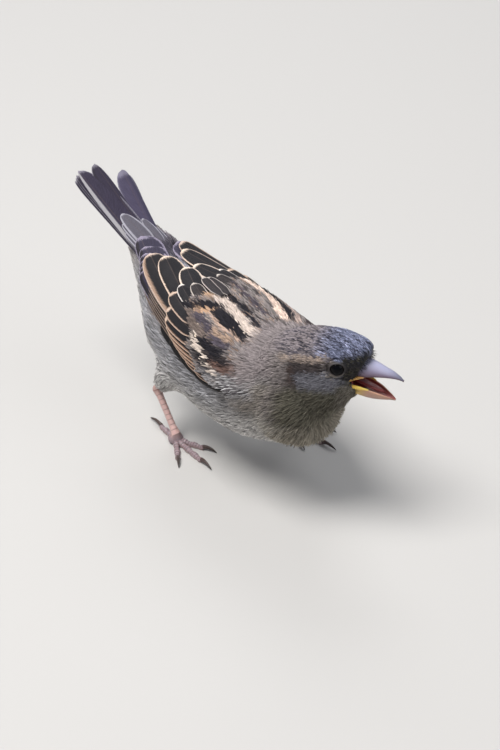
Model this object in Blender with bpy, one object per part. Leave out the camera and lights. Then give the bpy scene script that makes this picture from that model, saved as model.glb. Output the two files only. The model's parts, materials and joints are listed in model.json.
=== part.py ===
"""House sparrow, female: a still, life-size model leaning forward with an open bill.

Built in millimetres as (forward, left, up) from a point on the floor under the bird's
midline, level with its right foot, and then moved so that the origin is at the bottom
centre of the whole bird. The bird faces -Y, its right side is -X, and +Z is up.
"""
import math

import bmesh
import bpy
from mathutils import Matrix, Vector

MM = 0.001
GAP = 0.3                 # clearance between neighbouring solids
RIGHT, LEFT = -1, 1       # side signs along the bird's left axis
SIDES = {"right": RIGHT, "left": LEFT}

# Body along the spine, tail coverts to neck:
# forward, left, up, half width, height above and depth below the widest line
BODY = [
    (-37.6, -0.6, 58.1, 4.6, 1.5, 2.5),
    (-29.3, -0.4, 51.6, 7.6, 3.0, 6.2),
    (-20.5, -0.4, 46.0, 11.2, 5.6, 12.4),
    (-8.0, -0.4, 39.2, 16.3, 10.3, 19.2),
    (6.0, -0.7, 34.4, 18.0, 13.6, 22.5),
    (20.0, -1.3, 32.8, 17.9, 14.5, 22.0),
    (32.0, -1.9, 34.6, 16.7, 13.5, 20.9),
    (42.0, -2.4, 38.4, 14.7, 11.8, 20.2),
    (50.0, -2.8, 42.2, 12.9, 11.0, 18.2),
]
BODY_SQUARENESS = 2.2     # exponent of the cross-section, 2 is an ellipse
BACK_SQUARENESS = 1.95    # the same above the middle of the body
BODY_SIDES = 26
TRUNK_STEPS = 20
TRUNK_FRONT = 6.5         # station where the trunk is parted from the neck
NECK_STEPS = 7
NECK_REACH = 1.3          # how far each line keeps its direction, against its own length
NECK_SETTLE = 0.3         # how much of that is kept where the neck meets the head
NECK_PUFF = 1.0           # swell of the throat and nape feathers between trunk and head

# Head in its own frame: x forward, y left, z up from the middle of the skull
HEAD_PLACE = (53.7, -2.6, 49.6)
HEAD_YAW = 28.0           # turned to the bird's left
HEAD_TILT = 4.0           # right side raised
HEAD_PITCH = -4.0         # bill raised
# x, widest line, height above, depth below, half width, forward lean of the section
HEAD = [
    (-9.0, -0.9, 7.6, 13.4, 9.4, -0.66, -0.66),
    (-5.5, -0.5, 8.6, 13.4, 9.7, -0.42, -0.42),
    (-1.0, 0.0, 8.9, 13.2, 9.6, -0.15, -0.2),
    (3.5, 0.2, 8.9, 12.4, 9.0, 0.05, -0.05),
    (6.8, 0.1, 8.4, 11.2, 7.8, 0.2, 0.0),
    (9.4, -0.3, 7.5, 9.9, 6.3, 0.4, 0.05),
    (10.8, -0.8, 6.4, 8.8, 5.1, 0.5, 0.1),
    (11.5, -1.2, 5.0, 7.9, 4.1, 0.62, 0.15),
]
HEAD_SQUARENESS = 2.15
HEAD_SIDES = 24
HEAD_STEPS = 14

EYE_PLACE = (5.8, 6.0, 1.2)
EYE_RADIUS = 2.75

# Upper bill: x, ridge height, cutting edge height, half width, forward lean
BILL_UPPER = [
    (12.45, 1.8, -2.3, 3.75, 0.5),
    (15.0, 1.05, -2.15, 3.15, 0.4),
    (17.5, 0.05, -2.1, 2.45, 0.2),
    (20.0, -1.0, -2.3, 1.7, 0.05),
    (22.0, -2.1, -2.8, 0.9, 0.0),
    (23.3, -3.2, -3.5, 0.25, 0.0),
]
PALATE_DEPTH = 0.5

# Lower bill as if closed: x, cutting edge height, keel height, half width
BILL_LOWER = [
    (11.2, -2.7, -6.6, 3.6),
    (13.5, -2.5, -6.4, 3.3),
    (16.0, -2.5, -5.9, 2.7),
    (18.5, -2.8, -5.0, 1.8),
    (20.6, -3.1, -4.1, 0.9),
    (21.8, -3.4, -3.8, 0.25),
]
TROUGH_DEPTH = 1.3
JAW_ANGLE = 19.0          # opening of the lower bill
JAW_PIVOT = (3.0, -3.2)
GAPE = (8.2, -3.6)        # corner of the mouth, x and z
MOUTH_HALF_GAP = 0.35     # half the opening left at the corner of the mouth
THROAT_PLACE = (7.4, 0.0, -4.6)
THROAT_SIZE = (4.6, 2.7, 2.0)
# Tongue as if closed: x, half width, half thickness
TONGUE = [(9.0, 1.5, 0.45), (12.5, 1.6, 0.5), (16.0, 1.1, 0.4), (18.0, 0.3, 0.25)]
TONGUE_HEIGHT = -2.65

# Folded wing on the body: station, upper edge and lower edge in degrees from the back
WING_EDGES = [
    (6.15, 70.0, 84.0),
    (5.8, 54.0, 89.0),
    (5.4, 40.0, 90.0),
    (4.8, 29.0, 85.0),
    (3.9, 19.0, 75.0),
    (2.9, 11.0, 67.0),
    (1.9, 7.0, 62.0),
    (1.3, 8.0, 58.0),
]
WING_FRONT, WING_REAR = 6.1, 1.55
WING_STEPS, WING_ROWS = 12, 10
WING_THICKNESS = 1.9
PRIMARY_FRONT, PRIMARY_REAR = 3.0, 0.9
PRIMARY_EDGES = (16.0, 64.0)
PRIMARY_THICKNESS = 0.9
LAYER_STEP = 1.3          # rise of the tertials over the primaries

# Tail: root, rise of its axis, then for each half its fan angles and feather lobes
TAIL_ROOT = (-24.0, 0.0, 48.6)
TAIL_RISE = 34.0
TAIL_LENGTH = 33.0
TAIL_THICKNESS = 0.9
TAIL_ROWS, TAIL_COLUMNS = 6, 13
TAIL_HALVES = {
    "right": {"root": (-7.4, -0.2), "tip": (-11.4, -1.6), "lobes": 3, "length": 1.0},
    "left": {"root": (0.2, 4.0), "tip": (0.7, 7.2), "lobes": 1, "length": 0.86},
}
TAIL_CROWN = 0.9          # how far the middle of the tail stands above its edges

# Legs: foot centre, ankle and hip places on each side
LEGS = {
    "right": {"foot": (0.0, -14.0), "ankle": (-8.0, -14.4, 14.6), "hip": (1.0, -11.5, 27.0),
              "turn": -4.0},
    "left": {"foot": (15.5, 16.5), "ankle": (7.5, 16.9, 14.8), "hip": (15.0, 12.0, 27.0),
             "turn": 5.0},
}
THIGH_RADII = (7.6, 6.1, 3.7, 1.9)
TARSUS_RADIUS = 0.95
ANKLE_RADIUS = 1.5
PALM_RADIUS = 2.3
# Toes: name, direction from the foot's heading (inward positive), length, claw length
TOES = [
    ("hind", 176.0, 8.6, 6.2),
    ("inner", 25.0, 9.6, 4.2),
    ("middle", -2.0, 14.0, 5.0),
    ("outer", -32.0, 10.4, 4.2),
]
TOE_RADIUS = 0.82
TOE_START = 2.75
TOE_SIDES, CLAW_SIDES = 8, 6
CLAW_RADIUS = 0.62

COLOURS = {
    "plumage_grey": (0.32, 0.27, 0.22),
    "plumage_brown": (0.26, 0.17, 0.10),
    "flight_feather": (0.09, 0.075, 0.07),
    "bill_horn": (0.52, 0.42, 0.40),
    "bill_pale": (0.62, 0.45, 0.28),
    "mouth_red": (0.30, 0.03, 0.03),
    "eye_black": (0.012, 0.008, 0.006),
    "leg_skin": (0.36, 0.19, 0.14),
    "claw_horn": (0.05, 0.04, 0.035),
}
ROUGHNESS = {"eye_black": 0.05, "bill_horn": 0.35, "bill_pale": 0.35, "mouth_red": 0.25,
             "leg_skin": 0.5, "claw_horn": 0.35}
PLUMAGE_ROUGHNESS = 0.85


def clear_scene():
    for item in list(bpy.data.objects):
        bpy.data.objects.remove(item, do_unlink=True)


def vec(forward, left, up):
    """Bird directions (forward, left, up) as a world vector."""
    return Vector((left, -forward, up))


def material(slot):
    """The Principled material of one finish, made once."""
    found = bpy.data.materials.get(slot)
    if found:
        return found
    made = bpy.data.materials.new(slot)
    made.use_nodes = True
    shader = made.node_tree.nodes["Principled BSDF"]
    shader.inputs["Base Color"].default_value = (*COLOURS[slot], 1.0)
    shader.inputs["Roughness"].default_value = ROUGHNESS.get(slot, PLUMAGE_ROUGHNESS)
    return made


def catmull(rows, t):
    """Value between rows at the fractional row number t, by a Catmull-Rom curve."""
    last = len(rows) - 1
    i = min(max(int(math.floor(t)), 0), last - 1)
    s = t - i
    p1, p2 = rows[i], rows[i + 1]
    p0 = rows[i - 1] if i > 0 else [2 * a - b for a, b in zip(p1, p2)]
    p3 = rows[i + 2] if i + 2 <= last else [2 * b - a for a, b in zip(p1, p2)]
    return [0.5 * (2 * b + (c - a) * s + (2 * a - 5 * b + 4 * c - d) * s * s
                   + (3 * b - a - 3 * c + d) * s ** 3)
            for a, b, c, d in zip(p0, p1, p2, p3)]


def spread(start, end, count):
    """Evenly spaced values from start to end, both included."""
    return [start + (end - start) * i / (count - 1) for i in range(count)]


def power(value, exponent):
    return math.copysign(abs(value) ** exponent, value)


def oval(half_width, above, below, sides, squareness, top_squareness=None):
    """Cross-section points (sideways, upward) from the left side over the top."""
    points = []
    for i in range(sides):
        angle = 2 * math.pi * i / sides
        upper = math.sin(angle) >= 0
        tall = above if upper else below
        exponent = 2 / (top_squareness if upper and top_squareness else squareness)
        points.append((half_width * power(math.cos(angle), exponent),
                       tall * power(math.sin(angle), exponent)))
    return points


def new_object(name, mesh_data, slot):
    """A closed mesh object in metres with its normals facing out."""
    mesh = bpy.data.meshes.new(name)
    bmesh.ops.recalc_face_normals(mesh_data, faces=mesh_data.faces)
    bmesh.ops.scale(mesh_data, vec=(MM, MM, MM), verts=mesh_data.verts)
    mesh_data.to_mesh(mesh)
    mesh_data.free()
    mesh.shade_smooth()
    mesh.materials.append(material(slot))
    made = bpy.data.objects.new(name, mesh)
    bpy.context.scene.collection.objects.link(made)
    return made


def loft(name, rings, slot, slab=False):
    """A closed solid through rings of equal point counts, capped at both ends.

    A slab's rings run over it and back under it, so strips join the two to cap it.
    """
    shell = bmesh.new()
    rows = [[shell.verts.new(p) for p in ring] for ring in rings]
    count = len(rows[0])
    for near, far in zip(rows, rows[1:]):
        for i in range(count):
            j = (i + 1) % count
            shell.faces.new((near[i], near[j], far[j], far[i]))
    for ring in (rows[0], rows[-1]):
        if slab:
            for i in range(count // 2 - 1):
                shell.faces.new((ring[i], ring[i + 1], ring[count - 2 - i], ring[count - 1 - i]))
            continue
        middle = shell.verts.new(sum((v.co for v in ring), Vector()) / count)
        for i in range(count):
            shell.faces.new((ring[i], ring[(i + 1) % count], middle))
    return new_object(name, shell, slot)


def shell_solid(name, outer, inner, slot):
    """A closed slab between two grids of points that share their layout."""
    rings = []
    for over, under in zip(outer, inner):
        rings.append(list(over) + list(reversed(under)))
    return loft(name, rings, slot, slab=True)


def cut(target, cutter):
    """Takes the cutter's shape out of the target, and keeps the cutter out of the build."""
    cutter.hide_render = True
    cutter.display_type = "WIRE"
    cutter.hide_set(True)
    step = target.modifiers.new("cut_" + cutter.name, "BOOLEAN")
    step.operation = "DIFFERENCE"
    step.solver = "EXACT"
    step.object = cutter


# ---------------------------------------------------------------- body

def body_frame(t):
    """Centre, forward, left and up directions and the section sizes at a station."""
    here = catmull(BODY, t)
    ahead = catmull(BODY, t + 0.01)
    centre = vec(*here[:3])
    forward = (vec(*ahead[:3]) - centre).normalized()
    left = vec(0, 1, 0)
    up = forward.cross(left).normalized()
    return centre, forward, left, up, here[3:]


def body_ring(t, grow=0.0):
    centre, _, left, up, (wide, above, below) = body_frame(t)
    return [centre + left * y + up * z
            for y, z in oval(wide + grow, above + grow, below + grow,
                             BODY_SIDES, BODY_SQUARENESS, BACK_SQUARENESS)]


def body_point(t, side, degrees, lift):
    """A point above the body's surface, at an angle from the middle of the back."""
    centre, _, left, up, (wide, above, below) = body_frame(t)
    angle = math.radians(90.0 - degrees)
    tall = above if angle >= 0 else below
    exponent = 2 / (BACK_SQUARENESS if angle >= 0 else BODY_SQUARENESS)
    y = side * (wide + lift) * power(math.cos(angle), exponent)
    z = (tall + lift) * power(math.sin(angle), exponent)
    return centre + left * y + up * z


def trunk_rings(grow=0.0):
    return [body_ring(t, grow) for t in spread(0.0, TRUNK_FRONT, TRUNK_STEPS)]


def make_trunk():
    return loft("trunk", trunk_rings(), "plumage_grey")


def make_trunk_cutter():
    """The trunk grown by the clearance, and carried on at both ends."""
    rings = trunk_rings(GAP)
    return loft("trunk_cutter", rings, "plumage_grey")


def head_matrix():
    """Head frame to world: its x is the head's forward direction."""
    axes = Matrix((vec(1, 0, 0), vec(0, 1, 0), vec(0, 0, 1))).transposed()
    turn = (Matrix.Rotation(math.radians(HEAD_YAW), 3, "Z")
            @ Matrix.Rotation(math.radians(HEAD_PITCH), 3, "Y")
            @ Matrix.Rotation(math.radians(-HEAD_TILT), 3, "X"))
    return Matrix.Translation(vec(*HEAD_PLACE)) @ (axes @ turn).to_4x4()


def head_rings():
    frame = head_matrix()
    rings = []
    for t in spread(0.0, len(HEAD) - 1.0, HEAD_STEPS):
        x, middle, above, below, wide, lean, chin_lean = catmull(HEAD, t)
        ring = oval(wide, above, below, HEAD_SIDES, HEAD_SQUARENESS)
        rings.append([frame @ Vector((x + (lean if z > 0 else chin_lean) * z, y, middle + z))
                      for y, z in ring])
    return rings


def make_head():
    return loft("head", head_rings(), "plumage_brown")


def make_neck():
    """A smooth bridge from the front of the trunk to the back of the head."""
    _, body_forward, body_left, body_up, (wide, above, below) = body_frame(TRUNK_FRONT)
    centre = body_frame(TRUNK_FRONT)[0] + body_forward * GAP
    start = [centre + body_left * y + body_up * z
             for y, z in oval(wide, above, below, HEAD_SIDES, BODY_SQUARENESS,
                              BACK_SQUARENESS)]
    frame = head_matrix()
    head_forward = (frame.to_3x3() @ Vector((1, 0, 0))).normalized()
    end = [p - head_forward * GAP for p in head_rings()[0]]
    rings = []
    for s in spread(0.0, 1.0, NECK_STEPS):
        leave, arrive = s * (1 - s) ** 2, s * s * (s - 1)
        blend = s * s * (3 - 2 * s)
        pull = (body_forward * leave + head_forward * arrive * NECK_SETTLE) * NECK_REACH
        ring = [a.lerp(b, blend) + pull * (b - a).length for a, b in zip(start, end)]
        middle = sum(ring, Vector()) / len(ring)
        puff = NECK_PUFF * 4 * s * (1 - s)
        rings.append([p + (p - middle).normalized() * puff for p in ring])
    return loft("neck", rings, "plumage_brown")


# ---------------------------------------------------------------- eyes, bill and mouth

def ball(name, place, sizes, slot, rings=9, segments=14):
    """An ellipsoid in the head's frame."""
    shell = bmesh.new()
    bmesh.ops.create_uvsphere(shell, u_segments=segments, v_segments=rings, radius=1.0)
    shape = Matrix.Translation(Vector(place)) @ Matrix.Diagonal((*sizes, 1.0))
    bmesh.ops.transform(shell, matrix=head_matrix() @ shape, verts=shell.verts)
    return new_object(name, shell, slot)


def make_eyes(head):
    x, y, z = EYE_PLACE
    for name, side in SIDES.items():
        ball("eye_" + name, (x, side * y, z), [EYE_RADIUS] * 3, "eye_black")
        socket = ball("socket_" + name, (x, side * y, z), [EYE_RADIUS + GAP] * 3,
                      "plumage_brown", rings=10, segments=16)
        cut(head, socket)


def jaw_point(x, y, z):
    """A point of the lower bill, turned down by the jaw's opening."""
    px, pz = JAW_PIVOT
    angle = math.radians(JAW_ANGLE)
    dx, dz = x - px, z - pz
    return Vector((px + dx * math.cos(angle) + dz * math.sin(angle), y,
                   pz - dx * math.sin(angle) + dz * math.cos(angle)))


def upper_bill_ring(t, count=8):
    """Rounded ridge above, shallow palate below."""
    x, ridge, edge, wide, lean = catmull(BILL_UPPER, t)
    over, under = [], []
    for a in spread(0.0, math.pi, count):
        z = edge + (ridge - edge) * math.sin(a) ** 0.85
        over.append(Vector((x + lean * z, wide * math.cos(a), z)))
    for s in spread(-1.0, 1.0, count)[1:-1]:
        hollow = min(PALATE_DEPTH, 0.35 * (ridge - edge)) * (1 - s * s)
        z = edge + hollow
        under.append(Vector((x + lean * z, wide * s, z)))
    return over + under


def lower_bill_ring(t, count=8):
    """Rounded keel below, trough for the tongue above."""
    x, edge, keel, wide = catmull(BILL_LOWER, t)
    under, over = [], []
    for a in spread(0.0, math.pi, count):
        z = edge - (edge - keel) * math.sin(a) ** 0.85
        under.append(jaw_point(x, -wide * math.cos(a), z))
    for s in spread(1.0, -1.0, count)[1:-1]:
        hollow = min(TROUGH_DEPTH, 0.45 * (edge - keel)) * (1 - s ** 4)
        over.append(jaw_point(x, wide * s, edge - hollow))
    return under + over


def make_bill():
    frame = head_matrix()
    upper = [[frame @ p for p in upper_bill_ring(t)]
             for t in spread(0.0, len(BILL_UPPER) - 1.0, 11)]
    loft("bill_upper", upper, "bill_horn")
    lower = [[frame @ p for p in lower_bill_ring(t)]
             for t in spread(0.0, len(BILL_LOWER) - 1.0, 11)]
    loft("bill_lower", lower, "bill_pale")


def make_tongue():
    """A flat tongue that lies along the trough of the lower bill."""
    frame = head_matrix()
    rings = []
    for t in spread(0.0, len(TONGUE) - 1.0, 8):
        x, wide, thick = catmull(TONGUE, t)
        rings.append([frame @ jaw_point(x, y, TONGUE_HEIGHT + z)
                      for y, z in oval(wide, thick, thick, 10, 2.0)])
    return loft("tongue", rings, "mouth_red")


def make_mouth_cutter():
    """Everything in front of the bill's base, the mouth and the chin, as one prism."""
    corner_x, corner_z = GAPE
    far, low, half = 40.0, -30.0, 14.0
    base_x, ridge, edge, _, lean = BILL_UPPER[0]
    top = ridge + 1.0
    chin_top = jaw_point(BILL_LOWER[0][0] - GAP, 0.0, BILL_LOWER[0][1] - 0.4)
    chin_low = jaw_point(BILL_LOWER[0][0] - GAP, 0.0, low)
    outline = [
        (corner_x, corner_z + MOUTH_HALF_GAP), (base_x + lean * edge - GAP, edge),
        (base_x + lean * top - GAP, top), (far, top), (far, low),
        (chin_low.x, chin_low.z), (chin_top.x, chin_top.z),
        (corner_x, corner_z - MOUTH_HALF_GAP),
    ]
    frame = head_matrix()
    rings = [[frame @ Vector((x, y, z)) for x, z in outline] for y in (-half, half)]
    return loft("mouth_cutter", rings, "mouth_red")


# ---------------------------------------------------------------- wings

def between(rows, t):
    """Upper and lower wing edges at a body station, read from the edge table."""
    stations = [row[0] for row in rows]
    last = len(rows) - 1
    for i in range(last):
        if stations[i] >= t >= stations[i + 1]:
            s = (stations[i] - t) / (stations[i] - stations[i + 1])
            return catmull(rows, i + s)[1:]
    return rows[0][1:] if t > stations[0] else rows[-1][1:]


def scallop(s, lobes, depth):
    """Rounded feather tips across an edge: 0 on each tip, depth at the notches."""
    place = s * lobes
    off = 2 * (place - math.floor(min(place, lobes - 1e-6))) - 1
    return depth * abs(off) ** 2.2


def wing_grid(side, front, rear, edges, lobes, depth, floor, thick):
    """Outer and inner point grids of a feather layer that lies on the body."""
    outer, inner = [], []
    for k in spread(0.0, 1.0, WING_STEPS):
        over, under = [], []
        for s in spread(0.0, 1.0, WING_ROWS):
            end = rear + scallop(s, lobes, depth)
            t = front + (end - front) * k
            top, low = edges(t)
            degrees = top + (low - top) * s
            edge_fade = math.sin(math.pi * min(max(0.06 + 0.88 * s, 0.0), 1.0)) ** 0.5
            end_fade = min(1.0, 0.35 + 4.0 * k) * min(1.0, 0.45 + 2.2 * (1 - k))
            base = floor(t)
            over.append(body_point(t, side, degrees,
                                   base + max(0.6, thick * edge_fade * end_fade)))
            under.append(body_point(t, side, degrees, base))
        outer.append(over)
        inner.append(under)
    return outer, inner


def wing_floor(t):
    """The covert and tertial layer rises where the primaries run under it."""
    rise = min(max((PRIMARY_FRONT + 0.5 - t) / 0.8, 0.0), 1.0)
    return GAP + LAYER_STEP * rise * rise * (3 - 2 * rise)


def primary_floor(t):
    """The long primaries stay straight while the rump falls away under them."""
    return GAP + 0.9 * max(0.0, (PRIMARY_FRONT - 1.2 - t) / 1.8) ** 2


def make_wings():
    for name, side in SIDES.items():
        outer, inner = wing_grid(side, WING_FRONT, WING_REAR,
                                 lambda t: between(WING_EDGES, t), 3, 0.35,
                                 wing_floor, WING_THICKNESS)
        shell_solid("wing_" + name, outer, inner, "plumage_brown")
        outer, inner = wing_grid(side, PRIMARY_FRONT, PRIMARY_REAR,
                                 lambda t: PRIMARY_EDGES, 4, 0.5,
                                 primary_floor, PRIMARY_THICKNESS)
        shell_solid("primaries_" + name, outer, inner, "flight_feather")


# ---------------------------------------------------------------- tail

def tail_grid(half, grow=0.0):
    """Outer and inner point grids of one half of the fanned tail."""
    rise = math.radians(TAIL_RISE)
    back = vec(-math.cos(rise), 0, math.sin(rise))
    up = vec(math.sin(rise), 0, math.cos(rise))
    left = vec(0, 1, 0)
    thick = TAIL_THICKNESS / 2 + grow
    rows_out, rows_in = [], []
    for k in spread(0.0, 1.0, TAIL_ROWS):
        over, under = [], []
        for s in spread(0.0, 1.0, TAIL_COLUMNS):
            near = half["root"][0] - grow + (half["root"][1] - half["root"][0] + 2 * grow) * s
            far = half["tip"][0] - grow + (half["tip"][1] - half["tip"][0] + 2 * grow) * s
            length = TAIL_LENGTH * half["length"] - scallop(s, half["lobes"], 2.6)
            along = k * length - grow
            across = near + (far - near) * k
            crown = TAIL_CROWN * (1 - (across / 11.0) ** 2)
            place = vec(*TAIL_ROOT) + back * along + left * across + up * crown
            over.append(place + up * thick)
            under.append(place - up * thick)
        rows_out.append(over)
        rows_in.append(under)
    return rows_out, rows_in


def make_tail(trunk):
    for name, half in TAIL_HALVES.items():
        shell_solid("tail_" + name, *tail_grid(half), "flight_feather")
        cutter = shell_solid("tail_slot_" + name, *tail_grid(half, GAP), "flight_feather")
        cut(trunk, cutter)


# ---------------------------------------------------------------- legs and feet

def tube_ring(centre, axis, across, radius, sides, flat=1.0):
    """A ring square to an axis; flat narrows it in the third direction."""
    third = axis.cross(across).normalized()
    return [centre + across * radius * math.cos(a) + third * radius * flat * math.sin(a)
            for a in (2 * math.pi * i / sides for i in range(sides))]


def make_thigh(name, leg, trunk_cutter):
    hip, ankle = vec(*leg["hip"]), vec(*leg["ankle"])
    axis = (ankle - hip).normalized()
    left = vec(0, 1, 0)
    across = (left - axis * left.dot(axis)).normalized()
    end = ankle - axis * (ANKLE_RADIUS + 0.4)
    rings = []
    for s, radius in zip(spread(0.0, 1.0, len(THIGH_RADII)), THIGH_RADII):
        rings.append(tube_ring(hip.lerp(end, s), axis, across, radius, 16))
    thigh = loft("thigh_" + name, rings, "plumage_grey")
    cut(thigh, trunk_cutter)


def make_tarsus(name, leg):
    """Ankle knob, slim shank and the palm with its flat sole on the floor."""
    foot, ankle = vec(*leg["foot"], 2.6), vec(*leg["ankle"])
    axis = (foot - ankle).normalized()
    left = vec(0, 1, 0)
    across = (left - axis * left.dot(axis)).normalized()
    rings = [tube_ring(ankle - axis * ANKLE_RADIUS, axis, across, 0.5, 12),
             tube_ring(ankle - axis * 0.9, axis, across, ANKLE_RADIUS * 0.86, 12),
             tube_ring(ankle, axis, across, ANKLE_RADIUS, 12),
             tube_ring(ankle + axis * 1.3, axis, across, ANKLE_RADIUS * 0.86, 12)]
    for s in (0.22, 0.5, 0.8):
        rings.append(tube_ring(ankle.lerp(foot, s), axis, across, TARSUS_RADIUS, 12, 1.15))
    down = vec(0, 0, -1)
    rings.append(tube_ring(foot, (axis + down).normalized(), across, 1.45, 12))
    for height, radius in ((1.9, 2.0), (0.9, PALM_RADIUS), (0.25, PALM_RADIUS * 0.95),
                           (0.0, PALM_RADIUS * 0.8)):
        rings.append(tube_ring(vec(*leg["foot"], height), down, left, radius, 12))
    loft("tarsus_" + name, rings, "leg_skin")


def toe_profile(s, length):
    """Radius and centre height along a toe: joints swell, the tip is lower."""
    joints = max(2, round(length / 4.5))
    radius = TOE_RADIUS * (1.0 + 0.13 * math.cos(2 * math.pi * joints * s)) * (1 - 0.14 * s)
    return radius, radius * 0.8


def make_toe(name, foot, heading, length, claw):
    """One toe with a flat pad on the floor, and its curved claw."""
    left = Vector((-heading.y, heading.x, 0.0))
    start = vec(*foot, 0.0) + heading * TOE_START
    reach = length - TOE_START
    rings = []
    for s in spread(0.0, 1.0, 10):
        radius, height = toe_profile(s, length)
        round_off = min(1.0, 0.55 + 4.0 * min(s, 1 - s) * 2.0)
        ring = []
        for y, z in oval(radius * round_off, radius * round_off, radius * round_off,
                         TOE_SIDES, 2.3):
            ring.append(start + heading * reach * s + left * y
                        + Vector((0, 0, max(0.0, height + z))))
        rings.append(ring)
    loft("toe_" + name, rings, "leg_skin")

    base = start + heading * (reach + GAP)
    rings = []
    for s in spread(0.0, 1.0, 6):
        radius = CLAW_RADIUS * (1 - s) ** 0.7 + 0.12
        rise = 0.95 + 1.5 * s * (1 - s) - 0.62 * s * s
        slope = 1.5 * (1 - 2 * s) - 1.24 * s
        axis = (heading * claw + Vector((0, 0, slope))).normalized()
        middle = base + heading * claw * s + Vector((0, 0, rise))
        rings.append([Vector((p.x, p.y, max(0.06, p.z)))
                      for p in tube_ring(middle, axis, left, radius, CLAW_SIDES, 1.15)])
    loft("claw_" + name, rings, "claw_horn")


def make_legs(trunk_cutter):
    for name, leg in LEGS.items():
        make_thigh(name, leg, trunk_cutter)
        make_tarsus(name, leg)
        inward = -SIDES[name]
        for toe, degrees, length, claw in TOES:
            angle = math.radians(leg["turn"] + inward * degrees)
            heading = vec(math.cos(angle), math.sin(angle), 0)
            make_toe(toe + "_" + name, leg["foot"], heading, length, claw)


# ---------------------------------------------------------------- assembly

def place_on_origin():
    """Parents every piece to an empty that brings the bird's bottom centre to zero."""
    carrier = bpy.data.objects.new("sparrow", None)
    bpy.context.scene.collection.objects.link(carrier)
    pieces = [item for item in bpy.data.objects if item.type == "MESH"]
    corners = [v.co for item in pieces if not item.hide_render
               for v in item.data.vertices]
    low = [min(c[i] for c in corners) for i in range(3)]
    high = [max(c[i] for c in corners) for i in range(3)]
    carrier.location = (-(low[0] + high[0]) / 2, -(low[1] + high[1]) / 2, -low[2])
    for item in pieces:
        item.parent = carrier
    bpy.context.view_layer.update()


def build():
    clear_scene()
    trunk = make_trunk()
    trunk_cutter = make_trunk_cutter()
    head = make_head()
    make_neck()
    make_eyes(head)
    cut(head, make_mouth_cutter())
    cut(head, ball("throat_cutter", THROAT_PLACE, THROAT_SIZE, "mouth_red"))
    make_bill()
    make_tongue()
    make_wings()
    make_tail(trunk)
    make_legs(trunk_cutter)
    place_on_origin()


build()
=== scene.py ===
"""Looks of the house sparrow: skin, coat of small feathers, wings, tail, head and legs.

All shapes are worked out in millimetres as (forward, left, up) from the floor under the
bird's midline, level with its right foot, and moved into the frame at the end.
"""
import json
import math

import bmesh
import bpy
import numpy as np
from mathutils import Matrix, Vector
from mathutils.bvhtree import BVHTree

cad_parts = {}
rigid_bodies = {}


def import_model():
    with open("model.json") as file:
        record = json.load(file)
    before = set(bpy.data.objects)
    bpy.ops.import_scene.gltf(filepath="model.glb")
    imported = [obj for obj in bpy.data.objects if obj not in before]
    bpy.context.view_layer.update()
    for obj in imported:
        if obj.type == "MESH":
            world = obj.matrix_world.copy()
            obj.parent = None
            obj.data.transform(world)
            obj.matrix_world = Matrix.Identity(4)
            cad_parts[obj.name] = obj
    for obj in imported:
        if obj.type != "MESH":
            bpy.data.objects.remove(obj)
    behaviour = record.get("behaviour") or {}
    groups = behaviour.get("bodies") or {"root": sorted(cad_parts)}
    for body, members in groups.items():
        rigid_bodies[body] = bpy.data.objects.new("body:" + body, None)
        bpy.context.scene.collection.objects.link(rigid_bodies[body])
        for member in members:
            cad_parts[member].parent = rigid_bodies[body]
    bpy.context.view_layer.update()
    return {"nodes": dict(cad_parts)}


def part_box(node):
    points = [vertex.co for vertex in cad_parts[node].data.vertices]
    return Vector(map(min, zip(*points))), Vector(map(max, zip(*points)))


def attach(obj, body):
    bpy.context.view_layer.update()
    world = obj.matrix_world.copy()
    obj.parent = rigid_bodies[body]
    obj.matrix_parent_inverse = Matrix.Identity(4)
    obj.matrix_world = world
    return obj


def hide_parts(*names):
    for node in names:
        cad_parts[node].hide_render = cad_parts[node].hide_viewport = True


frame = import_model()

MM = 0.001
RIGHT, LEFT = -1, 1
SIDES = {"right": RIGHT, "left": LEFT}
SEED = 11

# The head's place and turn, and the eyes' place in its own frame (forward, left, up)
HEAD_PLACE = (53.7, -2.6, 49.6)
HEAD_YAW, HEAD_TILT, HEAD_PITCH = 28, 4, -4
EYE_PLACE = (5.8, 6, 1.2)

# Body along the spine, tail coverts to neck:
# forward, left, up, half width, height above and depth below the widest line
BODY = np.array([
    (-37.6, -0.6, 58.1, 4.6, 1.5, 2.5), (-29.3, -0.4, 51.6, 7.6, 3, 6.2),
    (-20.5, -0.4, 46, 11.2, 5.6, 12.4), (-8, -0.4, 39.2, 16.3, 10.3, 19.2),
    (6, -0.7, 34.4, 18, 13.6, 22.5), (20, -1.3, 32.8, 17.9, 14.5, 22),
    (32, -1.9, 34.6, 16.7, 13.5, 20.9), (42, -2.4, 38.4, 14.7, 11.8, 20.2),
    (50, -2.8, 42.2, 12.9, 11, 18.2)])
BODY_SQUARENESS, BACK_SQUARENESS = 2.2, 1.95

LEGS = {
    "right": {"foot": (0, -14), "ankle": (-8, -14.4, 14.6), "hip": (1, -11.5, 27),
              "turn": -4},
    "left": {"foot": (15.5, 16.5), "ankle": (7.5, 16.9, 14.8), "hip": (15, 12, 27),
             "turn": 5},
}


# ---- frames

def unit(v):
    v = np.asarray(v, float)
    return v / np.maximum(np.linalg.norm(v, axis=-1, keepdims=True), 1e-9)


def turn(axis, degrees):
    """Rotation in (forward, left, up) about one of its axes."""
    return np.array(Matrix.Rotation(math.radians(degrees), 3, axis))


HEAD_TURN = turn("Z", HEAD_YAW) @ turn("Y", HEAD_PITCH) @ turn("X", -HEAD_TILT)


def head_to_bird(p):
    return np.asarray(p, float) @ HEAD_TURN.T + np.array(HEAD_PLACE)


def bird_to_head(p):
    return (np.asarray(p, float) - np.array(HEAD_PLACE)) @ HEAD_TURN


def middle_of(node):
    low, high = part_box(node)
    return np.array((low + high) / 2) / MM


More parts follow.
